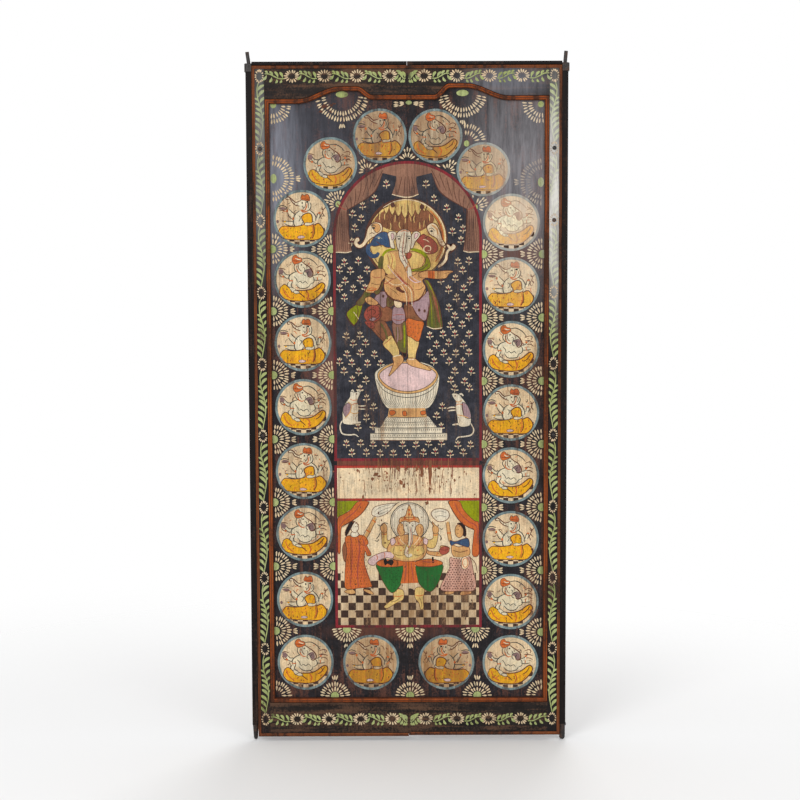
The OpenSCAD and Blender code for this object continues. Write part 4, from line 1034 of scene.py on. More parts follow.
def paintMedallion(x, z, radius, pose, v):
    flip, size = (-1 if pose < 0 else 1), radius / rounds["radius"]
    seat, picture = (raisedKnee, poseRaised) if abs(pose) == 1 else (levelSeat, poseLevel)

    def placed(spots):
        return [(x + flip * a * size, z + b * size) for a, b in spots]

    roundChecks(placed)
    paintPicture("medallionFigures", picture, "coat", (x, z), flip, size, 0.8, ink)
    for k in range(v["strokes"]):  # small strokes of arms, ornaments and what the hands hold
        a, far = hand.random() * math.tau, drawn(*v["far"])
        spot = (far * math.cos(a), v["up"] + far * math.sin(a) * v["squash"])
        if math.hypot(*spot) > v["within"] or insideOf(spot, seat):
            continue
        way, run = hand.random() * math.tau, drawn(*v["run"])
        spots = [polar(run * t, way + t * v["curl"], *spot) for t in (0, 0.5, 1)]
        paint = (brown, ink, mauve, orange)[k % 4]
        layLine("medallionFigures", paint, placed(spots), drawn(*v["width"]), 0.8)
    for k in range(v["specks"]):  # touches of the brush in the yellow
        spot = (around(v["speckX"]), v["speckZ"][0] + around(v["speckZ"][1]))
        end = (spot[0] + around(v["drift"]), spot[1] - v["drop"][0] - hand.random() * v["drop"][1])
        if insideOf(spot, seat) and insideOf(end, seat):
            paint = (orange, brown, orange)[k % 3]
            layLine("medallionFigures", paint, placed((spot, end)), drawn(*v["speckWidth"]), 1.4, "second")


for place in medallions:
    paintMedallion(*place, touches)
print("medallions painted:", len(medallions))


# curtain under the arch

arch = {"radius": 211, "z": 1494}


def onArch(across, up, degrees):
    a = math.radians(degrees)
    return across * math.sin(a), arch["z"] + up * math.cos(a)


def archArc(start, end, step):
    return [onArch(arch["radius"], arch["radius"], a) for a in range(start, end, step)]


def other(spots):  # the same on the other leaf
    return [(-x, z) for x, z in spots]


swagEdge = pairs((30, 1668, 72, 1678, 82, 1650, 94, 1626, 115, 1607, 144, 1589, 177, 1571))
tailEdge = pairs((177, 1571, 175, 1542, 174, 1513, 169, 1480, 164, 1450))
hem = pairs((164, 1450, 180, 1446, 196, 1447, 211, 1447))
curtain = [
    ("flat", cloth, 1, 0, archArc(-90, 1, 6) + [(0, 1668)] + other(swagEdge + tailEdge[1:] + hem[1:]),
     archArc(90, -1, -6) + [(0, 1668)] + swagEdge + tailEdge[1:] + hem[1:]),
    ("flat", cloth, 1.4, 0, (-32, 1672, 28, 1672, 26, 1660, 28, 1640, 33, 1616, 14, 1610, -6, 1608, -28,
      1611, -45, 1616, -36, 1640, -32, 1660)),
    ("line", cream, 2.4, 3.6, (-45, 1616, -22, 1610, -4, 1607, 14, 1609, 33, 1616)),
    ("line", cream, 2.4, 3.2, hem, other(hem)),
    ("line", fold, 1.8, 3, swagEdge[1:], other(swagEdge[1:])),
    ("line", fold, 1.8, 2.4, tailEdge, other(tailEdge)),
    ("line", rust, 1.9, 3, (179, 1571, 194, 1578, 206, 1590), (-179, 1571, -194, 1578, -206, 1590)),
]
paintPicture("curtain", curtain)
# folds: of the tails, of the swags by their turn along the arch, and of the knot by shares of x
folds = {"count": 7, "tailX": (170, 6), "tailZ": (1453, 1500, 1566), "tailWidth": 1.8, "turn": (20, 7),
         "swag": ((206, 206, 0, 0), (194, 190, 1, 5), (182, 168, 0, 12)), "swagWidth": 2,
         "knotX": (-22, -8, 6, 18), "knot": ((0.7, 1668), (1, 1640), (1.3, 1616)), "knotWidth": 2.2}
for side in (-1, 1):
    low, middle, high = folds["tailZ"]
    for k in range(folds["count"]):
        x = side * (folds["tailX"][0] + folds["tailX"][1] * k)
        tail = [(x, low + around(3)), (x + side * 2, middle), (x + side * (3 - k), high)]
        layLine("curtain", fold, tail, folds["tailWidth"], 1.5)
    for k in range(folds["count"]):
        a = folds["turn"][0] + folds["turn"][1] * k
        swag = [onArch(side * (across - less * k), up - less * k, a + on)
                for across, up, less, on in folds["swag"]]
        layLine("curtain", fold, swag, folds["swagWidth"], 1.5)
for x in folds["knotX"]:
    layLine("curtain", fold, [(x * share, z) for share, z in folds["knot"]], folds["knotWidth"], 1.8)
print("curtain painted")


# the standing figure before its halo, in millimetres on the door

haloMiddle, haloInner = (-3, 1485), 112


def haloArc(start, end, radius):
    return [polar(radius, math.radians(start + (end - start) * k / 9), *haloMiddle) for k in range(10)]


def haloTop(x):
    return haloMiddle[1] + math.sqrt(max(haloInner ** 2 - (x - haloMiddle[0]) ** 2, 0))


lobes = ((-62, 1560, 9), (-44, 1556, 9), (-26, 1552, 10), (-7, 1547, 10), (13, 1550, 10), (32, 1556, 10),
         (50, 1566, 9))
standing = [
    ("flat", halo, 1, 0, oval(-3, 1485, 121, 120, 0, 56)),
    ("line", brown, 1.7, 2.4, haloArc(236, 150, 109)),
    ("soft", umber, 1.8, 0, (-97, 1538, -80, 1560, -54, 1574, -20, 1576, 30, 1576, 62, 1566, 79, 1544, 66,
      1526, 30, 1506, -33, 1508, -69, 1520)),
]
hairs = {"count": 34, "first": -84, "pitch": 4.8, "z": (1522, 34), "width": 2.2}
for k in range(hairs["count"]):  # strokes of the hair behind the heads
    x, z = hairs["first"] + hairs["pitch"] * k, drawn(*hairs["z"])
    hair = [(x, z + 9), (x + around(3), z), (x + around(4), z - 11)]
    standing.append(("line", (fold, halo, fold)[k % 3], 1.9, hairs["width"], hair))
for x, z, w in lobes:
    cusp = [(x - w * 0.6, z + 8), (x, z), (x + w * 0.6, z + 8)]
    standing += [
        ("flat", halo, 2, 0, [(x - w, haloTop(x - w)), (x - w, z + 22), *cusp, (x + w, z + 22),
                              (x + w, haloTop(x + w))]),
        ("line", tan, 2.1, 3, [(x, haloTop(x) - 6), (x, z + 16)]),
        ("line", brown, 2.2, 1.9, [(x - w, z + 34), (x - w, z + 21), *cusp, (x + w, z + 21),
                                   (x + w, z + 34)])]
standing += [
    ("line", fold, 2.3, 8, haloArc(242, 148, 119)),
    ("line", fold, 2.3, 10, haloArc(160, 96, 117)),
    ("line", fold, 2.3, 4, haloArc(98, -60, 119)),
    ("line", cream, 2.35, 3, haloArc(126, -34, 115)),
    ("line", orange, 2.35, 5, haloArc(50, -38, 108)),
    ("line", brown, 2.35, 2, haloArc(64, -34, 104)),
    ("dots", fold, 2.4, (7, 8), (-43, 1585, 43, 1579)),
    ("fill", cream, 2.5, 2.6, (-109, 1527, -95, 1535, -78, 1531, -73, 1514, -83, 1498, -100, 1491, -115,
      1480, -126, 1466, -139, 1459, -151, 1462, -158, 1474, -153, 1488, -144, 1491, -140, 1482, -146, 1475,
      -140, 1470, -130, 1478, -122, 1496, -118, 1514)),
    ("fill", tan, 2.7, 1.6, (-104, 1526, -94, 1531, -82, 1527, -80, 1512, -90, 1504, -98, 1512)),
    ("dots", ink, 2.9, (4.6, 3), (-99, 1518)),
    ("line", ink, 2.9, 1.8, (-108, 1524, -100, 1526, -92, 1522)),
    ("line", brown, 2.9, 2, (-112, 1500, -104, 1504, -96, 1500)),
    ("fill", cream, 2.5, 2.6, (57, 1520, 70, 1532, 85, 1527, 96, 1506, 103, 1484, 115, 1465, 125, 1450, 137,
      1453, 143, 1463, 134, 1471, 128, 1464, 118, 1470, 99, 1464, 86, 1486, 66, 1499)),
    ("line", cream, 2.6, 8, (126, 1458, 116, 1444, 114, 1427, 104, 1413, 90, 1403)),
    ("line", brown, 2.9, 2.2, (136, 1450, 121, 1440, 118, 1424, 106, 1409, 90, 1399)),
    ("line", brown, 2.9, 2, (96, 1470, 106, 1462, 112, 1450, 109, 1432, 100, 1418)),
    ("dots", ink, 2.9, (4.6, 3), (71, 1508)),
    ("line", ink, 2.9, 1.8, (62, 1514, 71, 1517, 80, 1510)),
    ("line", tan, 2.7, 5, (72, 1526, 86, 1514, 90, 1498)),
    ("fill", blue, 2.6, 2, (-90, 1499, -71, 1507, -53, 1499, -48, 1464, -64, 1462, -74, 1468, -99, 1464,
      -108, 1474, -100, 1488)),
    ("line", blue, 2.7, 13, (-104, 1472, -115, 1463, -114, 1447, -103, 1436, -90, 1438, -85, 1446)),
    ("line", greyBlue, 2.8, 2.4, (-94, 1490, -84, 1492, -74, 1486)),
    ("line", brown, 2.9, 2, (-92, 1478, -82, 1472, -76, 1462)),
    ("dots", cream, 2.9, (3, 2), (-84, 1488)),
    ("fill", rust, 2.6, 2, (27, 1480, 44, 1499, 56, 1495, 71, 1487, 86, 1471, 88, 1452, 74, 1442, 55, 1443,
      45, 1458, 36, 1470)),
    ("line", cream, 2.9, 3.2, (66, 1445, 52, 1447, 48, 1457, 56, 1465, 67, 1462, 67, 1452, 59, 1452)),
    ("line", cream, 2.9, 2.4, (46, 1484, 56, 1482, 64, 1476)),
    ("dots", black, 2.9, (2.6, 2), (55, 1489)),
    ("fill", tan, 2.2, 0, (-66, 1440, -44, 1450, -10, 1450, 20, 1448, 42, 1440, 52, 1424, 42, 1400, 58,
      1388, 60, 1374, 44, 1364, 52, 1346, 52, 1326, 38, 1308, 10, 1301, -20, 1302, -46, 1312, -66, 1332,
      -70, 1352, -66, 1372, -72, 1396, -74, 1420)),
    ("soft", halo, 2.5, 0, (-72, 1438, -52, 1446, -38, 1436, -34, 1410, -44, 1388, -60, 1384, -72, 1402),
     (12, 1446, 34, 1440, 46, 1424, 40, 1404, 22, 1398, 6, 1410)),
    ("line", rust, 2.7, 2, (-50, 1446, -44, 1424, -50, 1398), (-60, 1440, -54, 1418, -58, 1396)),
    ("line", brown, 2.7, 1.6, (-73, 1406, -69, 1388, -59, 1374, -40, 1369, -26, 1377), (32, 1404, 26, 1384,
      8, 1376)),
    ("line", pink, 2.75, 2, (-59, 1410, -44, 1388, -22, 1366, -4, 1347)),
    ("line", rust, 2.76, 1.5, (-51, 1410, -37, 1390, -15, 1368, 2, 1351), (-4, 1409, 0, 1384, 15, 1365, 37,
      1354)),
    ("line", pink, 2.75, 2, (2, 1409, 6, 1385, 21, 1368, 40, 1358)),
    ("line", brown, 2.76, 1.4, (-52, 1340, -37, 1331, -26, 1318), (22, 1336, 37, 1338, 48, 1347)),
    ("line", cream, 2.75, 2, (-64, 1368, -44, 1352, -22, 1352, -6, 1362)),
    ("line", rust, 2.76, 1.4, (-66, 1362, -44, 1346, -20, 1346, -4, 1356)),
    ("fill", white, 3, 2, (-58, 1502, -47, 1508, -33, 1505, -34, 1490, -40, 1478, -37, 1459, -49, 1461, -53,
      1483), (15, 1502, 26, 1508, 38, 1501, 33, 1489, 24, 1479, 15, 1458, 7, 1462, 10, 1484)),
    ("fill", pink, 3.2, 1.4, (-48, 1500, -42, 1502, -39, 1492, -45, 1482, -47, 1490), (22, 1500, 28, 1502,
      32, 1498, 26, 1488, 20, 1488)),
    ("fill", white, 3.2, 2, (-33, 1497, -22, 1510, -7, 1514, 8, 1507, 12, 1486, 9, 1460, 0, 1444, -25, 1450,
      -33, 1475)),
    ("line", white, 3.8, 17, (-10, 1500, -14, 1476, -17, 1448, -13, 1428, -4, 1412, 4, 1393, 7, 1376)),
    ("line", brown, 4.4, 2, (-17, 1498, -22, 1474, -26, 1446, -21, 1425, -11, 1408, -4, 1390)),
    ("line", rust, 4.4, 2.4, (-8, 1504, -12, 1476, -14, 1448, -10, 1428, 0, 1410)),
    ("line", brown, 4.4, 2, (-1, 1498, -5, 1470, -8, 1448, -4, 1430, 6, 1412, 12, 1390)),
    ("line", ink, 4.4, 1.4, (-22, 1462, -16, 1459, -9, 1461), (-23, 1450, -16, 1447, -9, 1449), (-20, 1438,
      -14, 1435, -8, 1438), (-14, 1424, -9, 1422, -4, 1425)),
    ("fill", rust, 4.2, 1.4, (-2, 1442, 6, 1446, 13, 1441, 9, 1431, 2, 1427, -3, 1432)),
    ("dots", black, 4, (3.4, 2.3), (-25, 1486, 5, 1487)),
    ("line", ink, 4, 2, (-31, 1491, -25, 1494, -19, 1490), (-1, 1491, 5, 1494, 11, 1490)),
    ("line", orange, 4, 2.6, (-20, 1508, -8, 1510, 4, 1507)),
    ("line", lime, 3, 7, (-36, 1456, -58, 1452, -70, 1442, -76, 1428)),
    ("line", olive, 3, 15, (-74, 1436, -79, 1414, -78, 1388)),
    ("line", lime, 3, 10, (10, 1456, 34, 1450, 54, 1436, 64, 1414)),
    ("fill", lime, 3.1, 0, (56, 1434, 66, 1420, 66, 1402, 48, 1392, 14, 1390, 12, 1396, 34, 1400, 50,
      1410)),
    ("line", olive, 3.4, 4, (20, 1393, 44, 1398, 58, 1412)),
    ("fill", tan, 3.2, 0, (-106, 1392, -72, 1398, -66, 1375, -76, 1362, -84, 1342, -98, 1329, -122, 1330,
      -118, 1346, -110, 1364), (-126, 1310, -112, 1317, -98, 1309, -86, 1298, -96, 1291, -116, 1295)),
    ("line", orange, 3.6, 4, (-120, 1336, -106, 1334, -92, 1338)),
    ("fill", olive, 3.5, 0, (-98, 1332, -84, 1338, -72, 1364, -72, 1350, -82, 1328, -92, 1322)),
    ("fill", tan, 3.2, 0, (32, 1384, 60, 1393, 90, 1391, 118, 1393, 134, 1391, 132, 1387, 122, 1382, 112,
      1370, 84, 1368, 60, 1371, 38, 1372)),
    ("flat", orange, 3.6, 0, (60, 1392, 80, 1391, 80, 1369, 60, 1371)),
    ("line", brown, 3.8, 1.8, (66, 1391, 66, 1371), (74, 1391, 74, 1370)),
    ("line", rust, 2.8, 4, (-30, 1382, -14, 1362, 0, 1350)),
    ("line", brown, 2.9, 4, (-70, 1340, -56, 1316, -28, 1303, 12, 1300, 40, 1314, 53, 1342)),
    ("line", rust, 2.9, 2.2, (-78, 1368, -66, 1354, -50, 1364, -34, 1372)),
    ("fill", brown, 3, 0, (-34, 1340, -26, 1345, -18, 1336, -8, 1331, -14, 1328, -24, 1332)),
    ("line", pink, 3.2, 3.4, (-2, 1392, 4, 1372, 22, 1358, 40, 1362)),
    ("line", cream, 3.3, 2.4, (-8, 1352, 4, 1342, 12, 1326, 13, 1288)),
    ("line", cream, 3.3, 2, (-18, 1350, -8, 1334, -3, 1312, -3, 1290)),
    ("line", rust, 3.3, 2, (-2, 1356, 10, 1344, 18, 1326, 18, 1292)),
    ("line", rust, 3.3, 1.8, (-12, 1346, -3, 1330, 3, 1312, 3, 1292)),
    ("fill", lilac, 2.5, 0, (-98, 1310, -82, 1330, -64, 1330, -57, 1312, -62, 1290, -74, 1284, -86, 1298),
     (10, 1300, 30, 1304, 48, 1320, 61, 1332, 65, 1300, 61, 1275, 53, 1246, 36, 1253, 20, 1276)),
    ("fill", olive, 2.6, 0, (-60, 1316, -46, 1310, -40, 1294, -52, 1286, -62, 1290)),
    ("fill", cream, 2.8, 0, (-40, 1304, -26, 1306, -16, 1296, -20, 1284, -36, 1286)),
    ("dots", fold, 3, (3.6, 5), (34, 1276, 50, 1274, -72, 1318)),
    ("fill", lime, 2.4, 0, (-180, 1266, -166, 1283, -142, 1298, -133, 1294, -141, 1262, -156, 1234, -170,
      1244)),
    ("fill", olive, 2.5, 0, (-152, 1298, -136, 1316, -121, 1338, -108, 1326, -126, 1300, -140, 1290)),
    ("line", fold, 2.6, 5, (-181, 1262, -172, 1244, -158, 1230)),
    ("line", cream, 2.8, 2.2, (-160, 1272, -152, 1262, -144, 1250)),
    ("line", brown, 2.8, 2, (-150, 1292, -146, 1276, -150, 1250)),
    ("fill", olive, 2.4, 0, (48, 1364, 62, 1362, 76, 1336, 92, 1292, 99, 1258, 102, 1226, 88, 1219, 58,
      1228, 60, 1260, 66, 1300, 60, 1340)),
    ("line", lime, 2.7, 3, (56, 1364, 70, 1340, 80, 1310)),
    ("line", umber, 2.6, 8, (76, 1320, 86, 1284, 92, 1240)),
    ("line", brown, 2.7, 1.6, (66, 1336, 78, 1288, 84, 1225)),
    ("line", rust, 2.7, 1.8, (71, 1336, 88, 1284, 97, 1225)),
    ("line", lime, 2.7, 1.6, (64, 1320, 70, 1288, 72, 1228)),
    ("line", fold, 2.7, 1.6, (60, 1300, 62, 1270, 64, 1230)),
    ("line", cream, 2.8, 2.6, (57, 1229, 76, 1221, 102, 1224)),
    ("fill", umber, 2.3, 0, (-100, 1288, -70, 1290, -46, 1278, -38, 1254, -60, 1244, -86, 1248)),
    ("fill", rust, 2.5, 0, (-129, 1260, -120, 1282, -100, 1292, -82, 1283, -76, 1262, -90, 1245, -114,
      1240)),
    ("line", fold, 2.8, 3, (-84, 1284, -80, 1266, -92, 1250, -110, 1254)),
    ("fill", lilac, 2.8, 0, (-114, 1250, -100, 1256, -92, 1250, -104, 1244)),
    ("line", brown, 2.8, 2.4, (-116, 1274, -104, 1280, -94, 1272, -102, 1264)),
    ("dots", fold, 2.9, (1.7, 1.7), (-118, 1274, -111, 1280, -102, 1284, -120, 1263, -116, 1256, -107, 1252,
      -96, 1249, -87, 1253, -82, 1263, -84, 1274, -110, 1236, -102, 1230, -94, 1240, -108, 1228, -118,
      1238)),
    ("line", brown, 2.9, 1.8, (-114, 1263, -105, 1257, -94, 1258, -84, 1266, -80, 1277)),
    ("fill", umber, 2.4, 0, (-127, 1242, -104, 1245, -72, 1245, -58, 1228, -46, 1202, -52, 1188, -63, 1179,
      -84, 1196, -108, 1222)),
    ("fill", rust, 2.6, 0, (-126, 1242, -106, 1244, -96, 1232, -104, 1222, -114, 1226)),
    ("line", olive, 2.6, 7, (-80, 1238, -66, 1214, -60, 1190)),
    ("fill", halo, 2.5, 0, (-74, 1178, -52, 1202, -40, 1190, -26, 1160, -27, 1142, -40, 1138, -54, 1154)),
    ("fill", lilac, 2.6, 0, (-42, 1284, -22, 1290, -9, 1272, -9, 1244, -30, 1234, -46, 1246, -46, 1264)),
    ("fill", cloth, 2.4, 0, (-44, 1240, -8, 1242, -5, 1180, -14, 1152, -28, 1164, -40, 1200)),
    ("fill", olive, 2.8, 0, (-17, 1234, -5, 1238, -3, 1160, -12, 1150, -26, 1160, -32, 1184, -15, 1192)),
    ("line", lime, 3, 5, (-10, 1232, -9, 1200, -10, 1166)),
    ("line", olive, 2.9, 2, (-34, 1226, -33, 1204, -34, 1186), (-26, 1227, -25, 1204, -26, 1185)),
    ("line", lilac, 2.9, 2, (-30, 1228, -29, 1206, -30, 1182)),
    ("line", rust, 2.9, 1.8, (-44, 1261, -24, 1264, -9, 1262), (-44, 1250, -26, 1246, -9, 1250)),
    ("line", brown, 2.9, 1.4, (-60, 1300, -55, 1309, -48, 1314), (-55, 1293, -47, 1304, -42, 1306)),
    ("line", orange, 3.7, 2.2, (-117, 1335, -108, 1342, -90, 1340)),
    ("line", brown, 3.7, 1.6, (-107, 1357, -97, 1353, -82, 1352)),
    ("line", brown, 3.7, 1.4, (-100, 1300, -110, 1304, -118, 1302)),
    ("line", rust, 3.7, 1.8, (-104, 1376, -92, 1372, -78, 1374)),
    ("line", brown, 3.7, 1.4, (88, 1391, 89, 1380, 88, 1369), (108, 1383, 120, 1386, 130, 1388)),
    ("line", rust, 2.7, 2, (-71, 1175, -59, 1185, -47, 1196)),
    ("line", brown, 2.7, 1.4, (-100, 1226, -80, 1200, -66, 1184)),
    ("fill", umber, 2.4, 0, (-10, 1292, 14, 1290, 24, 1264, 46, 1246, 30, 1238, 0, 1244)),
    ("fill", orange, 2.6, 0, (-3, 1250, 26, 1246, 47, 1240, 41, 1212, 31, 1184, 10, 1196, -3, 1206)),
    ("dots", umber, 3, (1.8, 1.8), (6, 1238, 18, 1236, 30, 1234, 8, 1226, 22, 1224, 36, 1222, 4, 1214, 16,
      1212, 30, 1208, 10, 1202, 22, 1198)),
    ("fill", halo, 2.5, 0, (0, 1206, 20, 1194, 33, 1182, 25, 1150, 21, 1132, 3, 1132, 0, 1160)),
    ("fill", tan, 3, 0, (-44, 1138, -20, 1144, -13, 1128, -24, 1112, -48, 1088, -57, 1082, -48, 1104, -42,
      1122), (0, 1134, 20, 1134, 36, 1122, 61, 1108, 68, 1097, 40, 1103, 10, 1112, -3, 1122)),
    ("line", cream, 3.3, 3, (-44, 1138, -32, 1142, -20, 1144), (1, 1133, 11, 1130, 21, 1133)),
    ("fill", black, 2.6, 0, (-16, 1152, -6, 1154, -4, 1140, -12, 1138)),
]
paintPicture("standingFigure", standing, shake=0.3, edge=1.7)


# bowl, its foot and the two mice

bowlAndMice = [
    ("fill", white, 1.2, 0, (-98, 1082, -92, 1050, -82, 1020, -68, 994, -52, 984, 0, 982, 52, 984, 70, 996,
      84, 1024, 92, 1060, 90, 1090, 62, 1116, 0, 1128, -62, 1116, -92, 1098)),
    ("fill", tan, 1.8, 0, (-90, 1085, -72, 1108, -30, 1124, 20, 1122, 70, 1108, 90, 1085, 76, 1056, 44,
      1036, 0, 1029, -44, 1036, -76, 1056)),
    ("fill", pink, 2.1, 0, (-84, 1085, -62, 1106, -22, 1119, 20, 1116, 66, 1103, 84, 1085, 70, 1061, 40,
      1043, 0, 1036, -40, 1043, -70, 1061)),
    ("line", ink, 2.2, 2, (-94, 1072, -74, 1042, -40, 1024, 0, 1018, 40, 1024, 72, 1042, 90, 1070)),
    ("flat", tan, 1.4, 0, (-56, 986, 51, 986, 56, 958, -60, 958)),
    ("fill", orange, 1.8, 0, (-54, 978, -42, 980, -36, 972, -46, 964, -54, 968), (-16, 976, -6, 977, -4,
      964, -14, 964), (38, 976, 52, 978, 52, 968, 40, 966)),
    ("flat", white, 1.2, 0, (-62, 962, 60, 962, 72, 946, 88, 926, -84, 926, -72, 946)),
    ("flat", white, 1.3, 0, (-98, 929, 101, 929, 101, 911, -98, 911)),
    ("flat", white, 1.4, 0, (-112, 912, 116, 912, 116, 890, -112, 890)),
    ("line", ink, 2, 2, (-64, 960, 0, 958, 62, 960)),
    ("line", ink, 2, 1.8, (-72, 946, 0, 944, 74, 946)),
    ("line", ink, 2, 2.2, (-98, 928, 0, 927, 101, 928), (-112, 911, 0, 910, 116, 911)),
    ("line", ink, 2, 1.8, (-110, 900, 0, 899, 114, 900)),
    ("line", brown, 2, 2, (-112, 891, 0, 890, 116, 891)),
    ("fill", white, 1.2, 0, (-170, 1036, -158, 1034, -146, 1036, -141, 1030, -147, 1018, -150, 1005, -146,
      990, -148, 968, -152, 940, -190, 940, -194, 960, -193, 985, -183, 1005, -172, 1020)),
    ("line", white, 1.2, 5, (-168, 1034, -164, 1040, -160, 1034), (-150, 1034, -145, 1041, -142, 1034)),
    ("fill", lilac, 1.7, 0, (-193, 985, -181, 1001, -168, 998, -172, 976, -186, 962)),
    ("line", tan, 1.8, 3, (-178, 1005, -168, 996, -172, 974, -188, 956), (-170, 974, -158, 970, -147, 974)),
    ("line", orange, 1.9, 2, (-172, 1014, -162, 1010, -150, 1012), (-168, 996, -158, 1000, -149, 1000)),
    ("line", brown, 1.9, 1.2, (-150, 966, -156, 956, -152, 944)),
    ("dots", brown, 1.8, (2.4, 2), (-152, 1029)),
    ("line", white, 1.4, 4, (-150, 994, -136, 993, -125, 994), (-150, 985, -136, 984, -126, 984)),
    ("line", white, 1.4, 5, (-168, 946, -150, 944, -140, 945)),
    ("line", brown, 1.8, 1.4, (-148, 990, -136, 989, -126, 989), (-166, 940, -154, 940, -140, 941)),
    ("line", white, 1.2, 4, (-190, 956, -201, 936, -196, 912, -174, 907, -158, 908, -147, 901)),
    ("fill", white, 1.2, 0, (130, 1028, 140, 1030, 152, 1026, 162, 1014, 174, 998, 184, 978, 187, 958, 183,
      934, 152, 932, 146, 960, 141, 985, 143, 1004, 136, 1014)),
    ("line", white, 1.2, 5, (150, 1024, 158, 1028, 164, 1022)),
    ("fill", lilac, 1.7, 0, (160, 1001, 174, 997, 185, 973, 185, 955, 166, 962)),
    ("line", tan, 1.8, 3, (142, 1006, 152, 1004, 160, 1010), (146, 966, 164, 962, 180, 956)),
    ("line", orange, 1.9, 2, (142, 994, 152, 998, 162, 996)),
    ("line", brown, 1.9, 1.2, (148, 960, 154, 950, 150, 938)),
    ("dots", brown, 1.8, (2.4, 2), (140, 1022)),
    ("line", brown, 1.8, 2, (162, 1002, 163, 982, 166, 962)),
    ("line", white, 1.4, 4, (141, 988, 126, 988, 116, 984), (142, 980, 128, 979, 119, 977)),
    ("line", white, 1.4, 5, (160, 940, 146, 938, 132, 936)),
    ("line", brown, 1.8, 1.4, (142, 984, 128, 984, 117, 981)),
    ("line", white, 1.2, 4, (183, 946, 195, 922, 188, 906, 168, 901, 150, 899, 142, 890)),
]
paintPicture("bowlAndMice", bowlAndMice, rim=ink, edge=1.6)


# a flute's points have half widths, heights and sag; a scallop's have a share of x, a shift and a height
bowl = {"flutes": 23, "half": 11.6, "flute": ((89, 1028, 38), (84, 1008, 12), (56, 988, 0)),
        "fluteWidth": 1.0, "scallops": 31, "first": -90, "pitch": 6.1, "neckHalf": 72,
        "rims": ((1.1, ((1, 0, 926), (1, 1.5, 919), (1, 3, 926))),
                 (1.1, ((1.16, 0, 908), (1.16, 1.8, 902), (1.16, 3.6, 908)))),
        "neck": ((1.2, ((0.86, 0, 957), (1, 0, 947))),
                 (1.1, ((1.08, 0, 943), (1.12, 2, 934), (1.08, 5, 943))))}
for k in range(bowl["flutes"]):
    u = (k - bowl["flutes"] // 2) / bowl["half"]
    flute = [(x * u, z + sag * u * u) for x, z, sag in bowl["flute"]]
    layLine("bowlAndMice", ink, flute, bowl["fluteWidth"], 1.8)
for k in range(bowl["scallops"]):
    x = bowl["first"] + bowl["pitch"] * k
    for width, points in bowl["rims"] + (bowl["neck"] if abs(x) < bowl["neckHalf"] else ()):
        layLine("bowlAndMice", ink, [(x * share + off, z) for share, off, z in points], width, 1.8)
print("standing figure, bowl and mice painted")


# small flowers strewn over the niche's ground

strewn = {"pitch": (41, 27), "petal": (8.0, 3.9), "foot": (2.6, 2.4), "eye": (3, 3.2), "first": 853,
          "rows": 22, "half": 5, "loose": (5, 4),
          "niche": {"half": 202, "low": 846, "high": 1440},
          "petals": ((90, 1.05, 2), (48, 1.0, 1), (132, 1.0, 1), (14, 1.1, -6), (166, 1.1, -6)),
          "high": pairs((-61, 1646, -96, 1603, -131, 1583, -161, 1560, -155, 1518, -136, 1545, -163, 1478,
                         55, 1646, 79, 1602, 116, 1576, 150, 1547, 132, 1507, 158, 1481, 164, 1514)),
          # ovals that the flowers keep clear of
          "blocks": ((-3, 1485, 134, 132), (-20, 1340, 104, 62), (92, 1382, 50, 18), (-150, 1272, 44, 52),
                     (78, 1280, 36, 80), (-70, 1240, 74, 64), (10, 1240, 54, 70), (-40, 1170, 44, 44),
                     (12, 1160, 32, 44), (0, 1060, 112, 82), (0, 970, 84, 30), (2, 908, 126, 26),
                     (-166, 990, 38, 66), (160, 985, 42, 66), (-180, 925, 30, 34), (170, 918, 34, 36),
                     (-126, 1310, 28, 22), (0, 940, 100, 24))}


def inNiche(x, z):
    niche = strewn["niche"]
    if abs(x) > niche["half"] or not niche["low"] <= z <= niche["high"]:
        return False
    return not any(((x - a) / rx) ** 2 + ((z - b) / rz) ** 2 < 1 for a, b, rx, rz in strewn["blocks"])


def strewnFlower(x, z):
    length, width = strewn["petal"]
    turn = around(0.15)
    for a, scale, lift in strewn["petals"]:
        a = math.radians(a) + turn
        foot = (x + strewn["foot"][0] * math.cos(a), z + lift + strewn["foot"][1] * math.sin(a))
        drop = petal(*foot, a, length * scale * (1 + around(0.12)), width * (1 + around(0.12)))
        layShape("strewnFlowers", petalWhite, drop, 1)
    layLine("strewnFlowers", petalWhite, [(x, z), (x + around(1), z - 6), (x + around(2), z - 13)], 1.8, 1)
    layShape("strewnFlowers", red, oval(x, z + 0.6, *strewn["eye"], 0, 8), 1.6)


def layStrewn(v):
    dx, dz = v["pitch"]
    sideways, upwards = v["loose"]
    spots = [(k * dx + (dx / 2 if row % 2 else 0) + around(sideways), v["first"] + dz * row + around(upwards))
             for row in range(v["rows"]) for k in range(-v["half"], v["half"] + 1)]
    flowers = [spot for spot in spots if inNiche(*spot)] + v["high"]
    for spot in flowers:
        strewnFlower(*spot)
    return len(flowers)


print("strewn flowers:", layStrewn(strewn))


# the lower picture: seated figure, two attendants, drapes

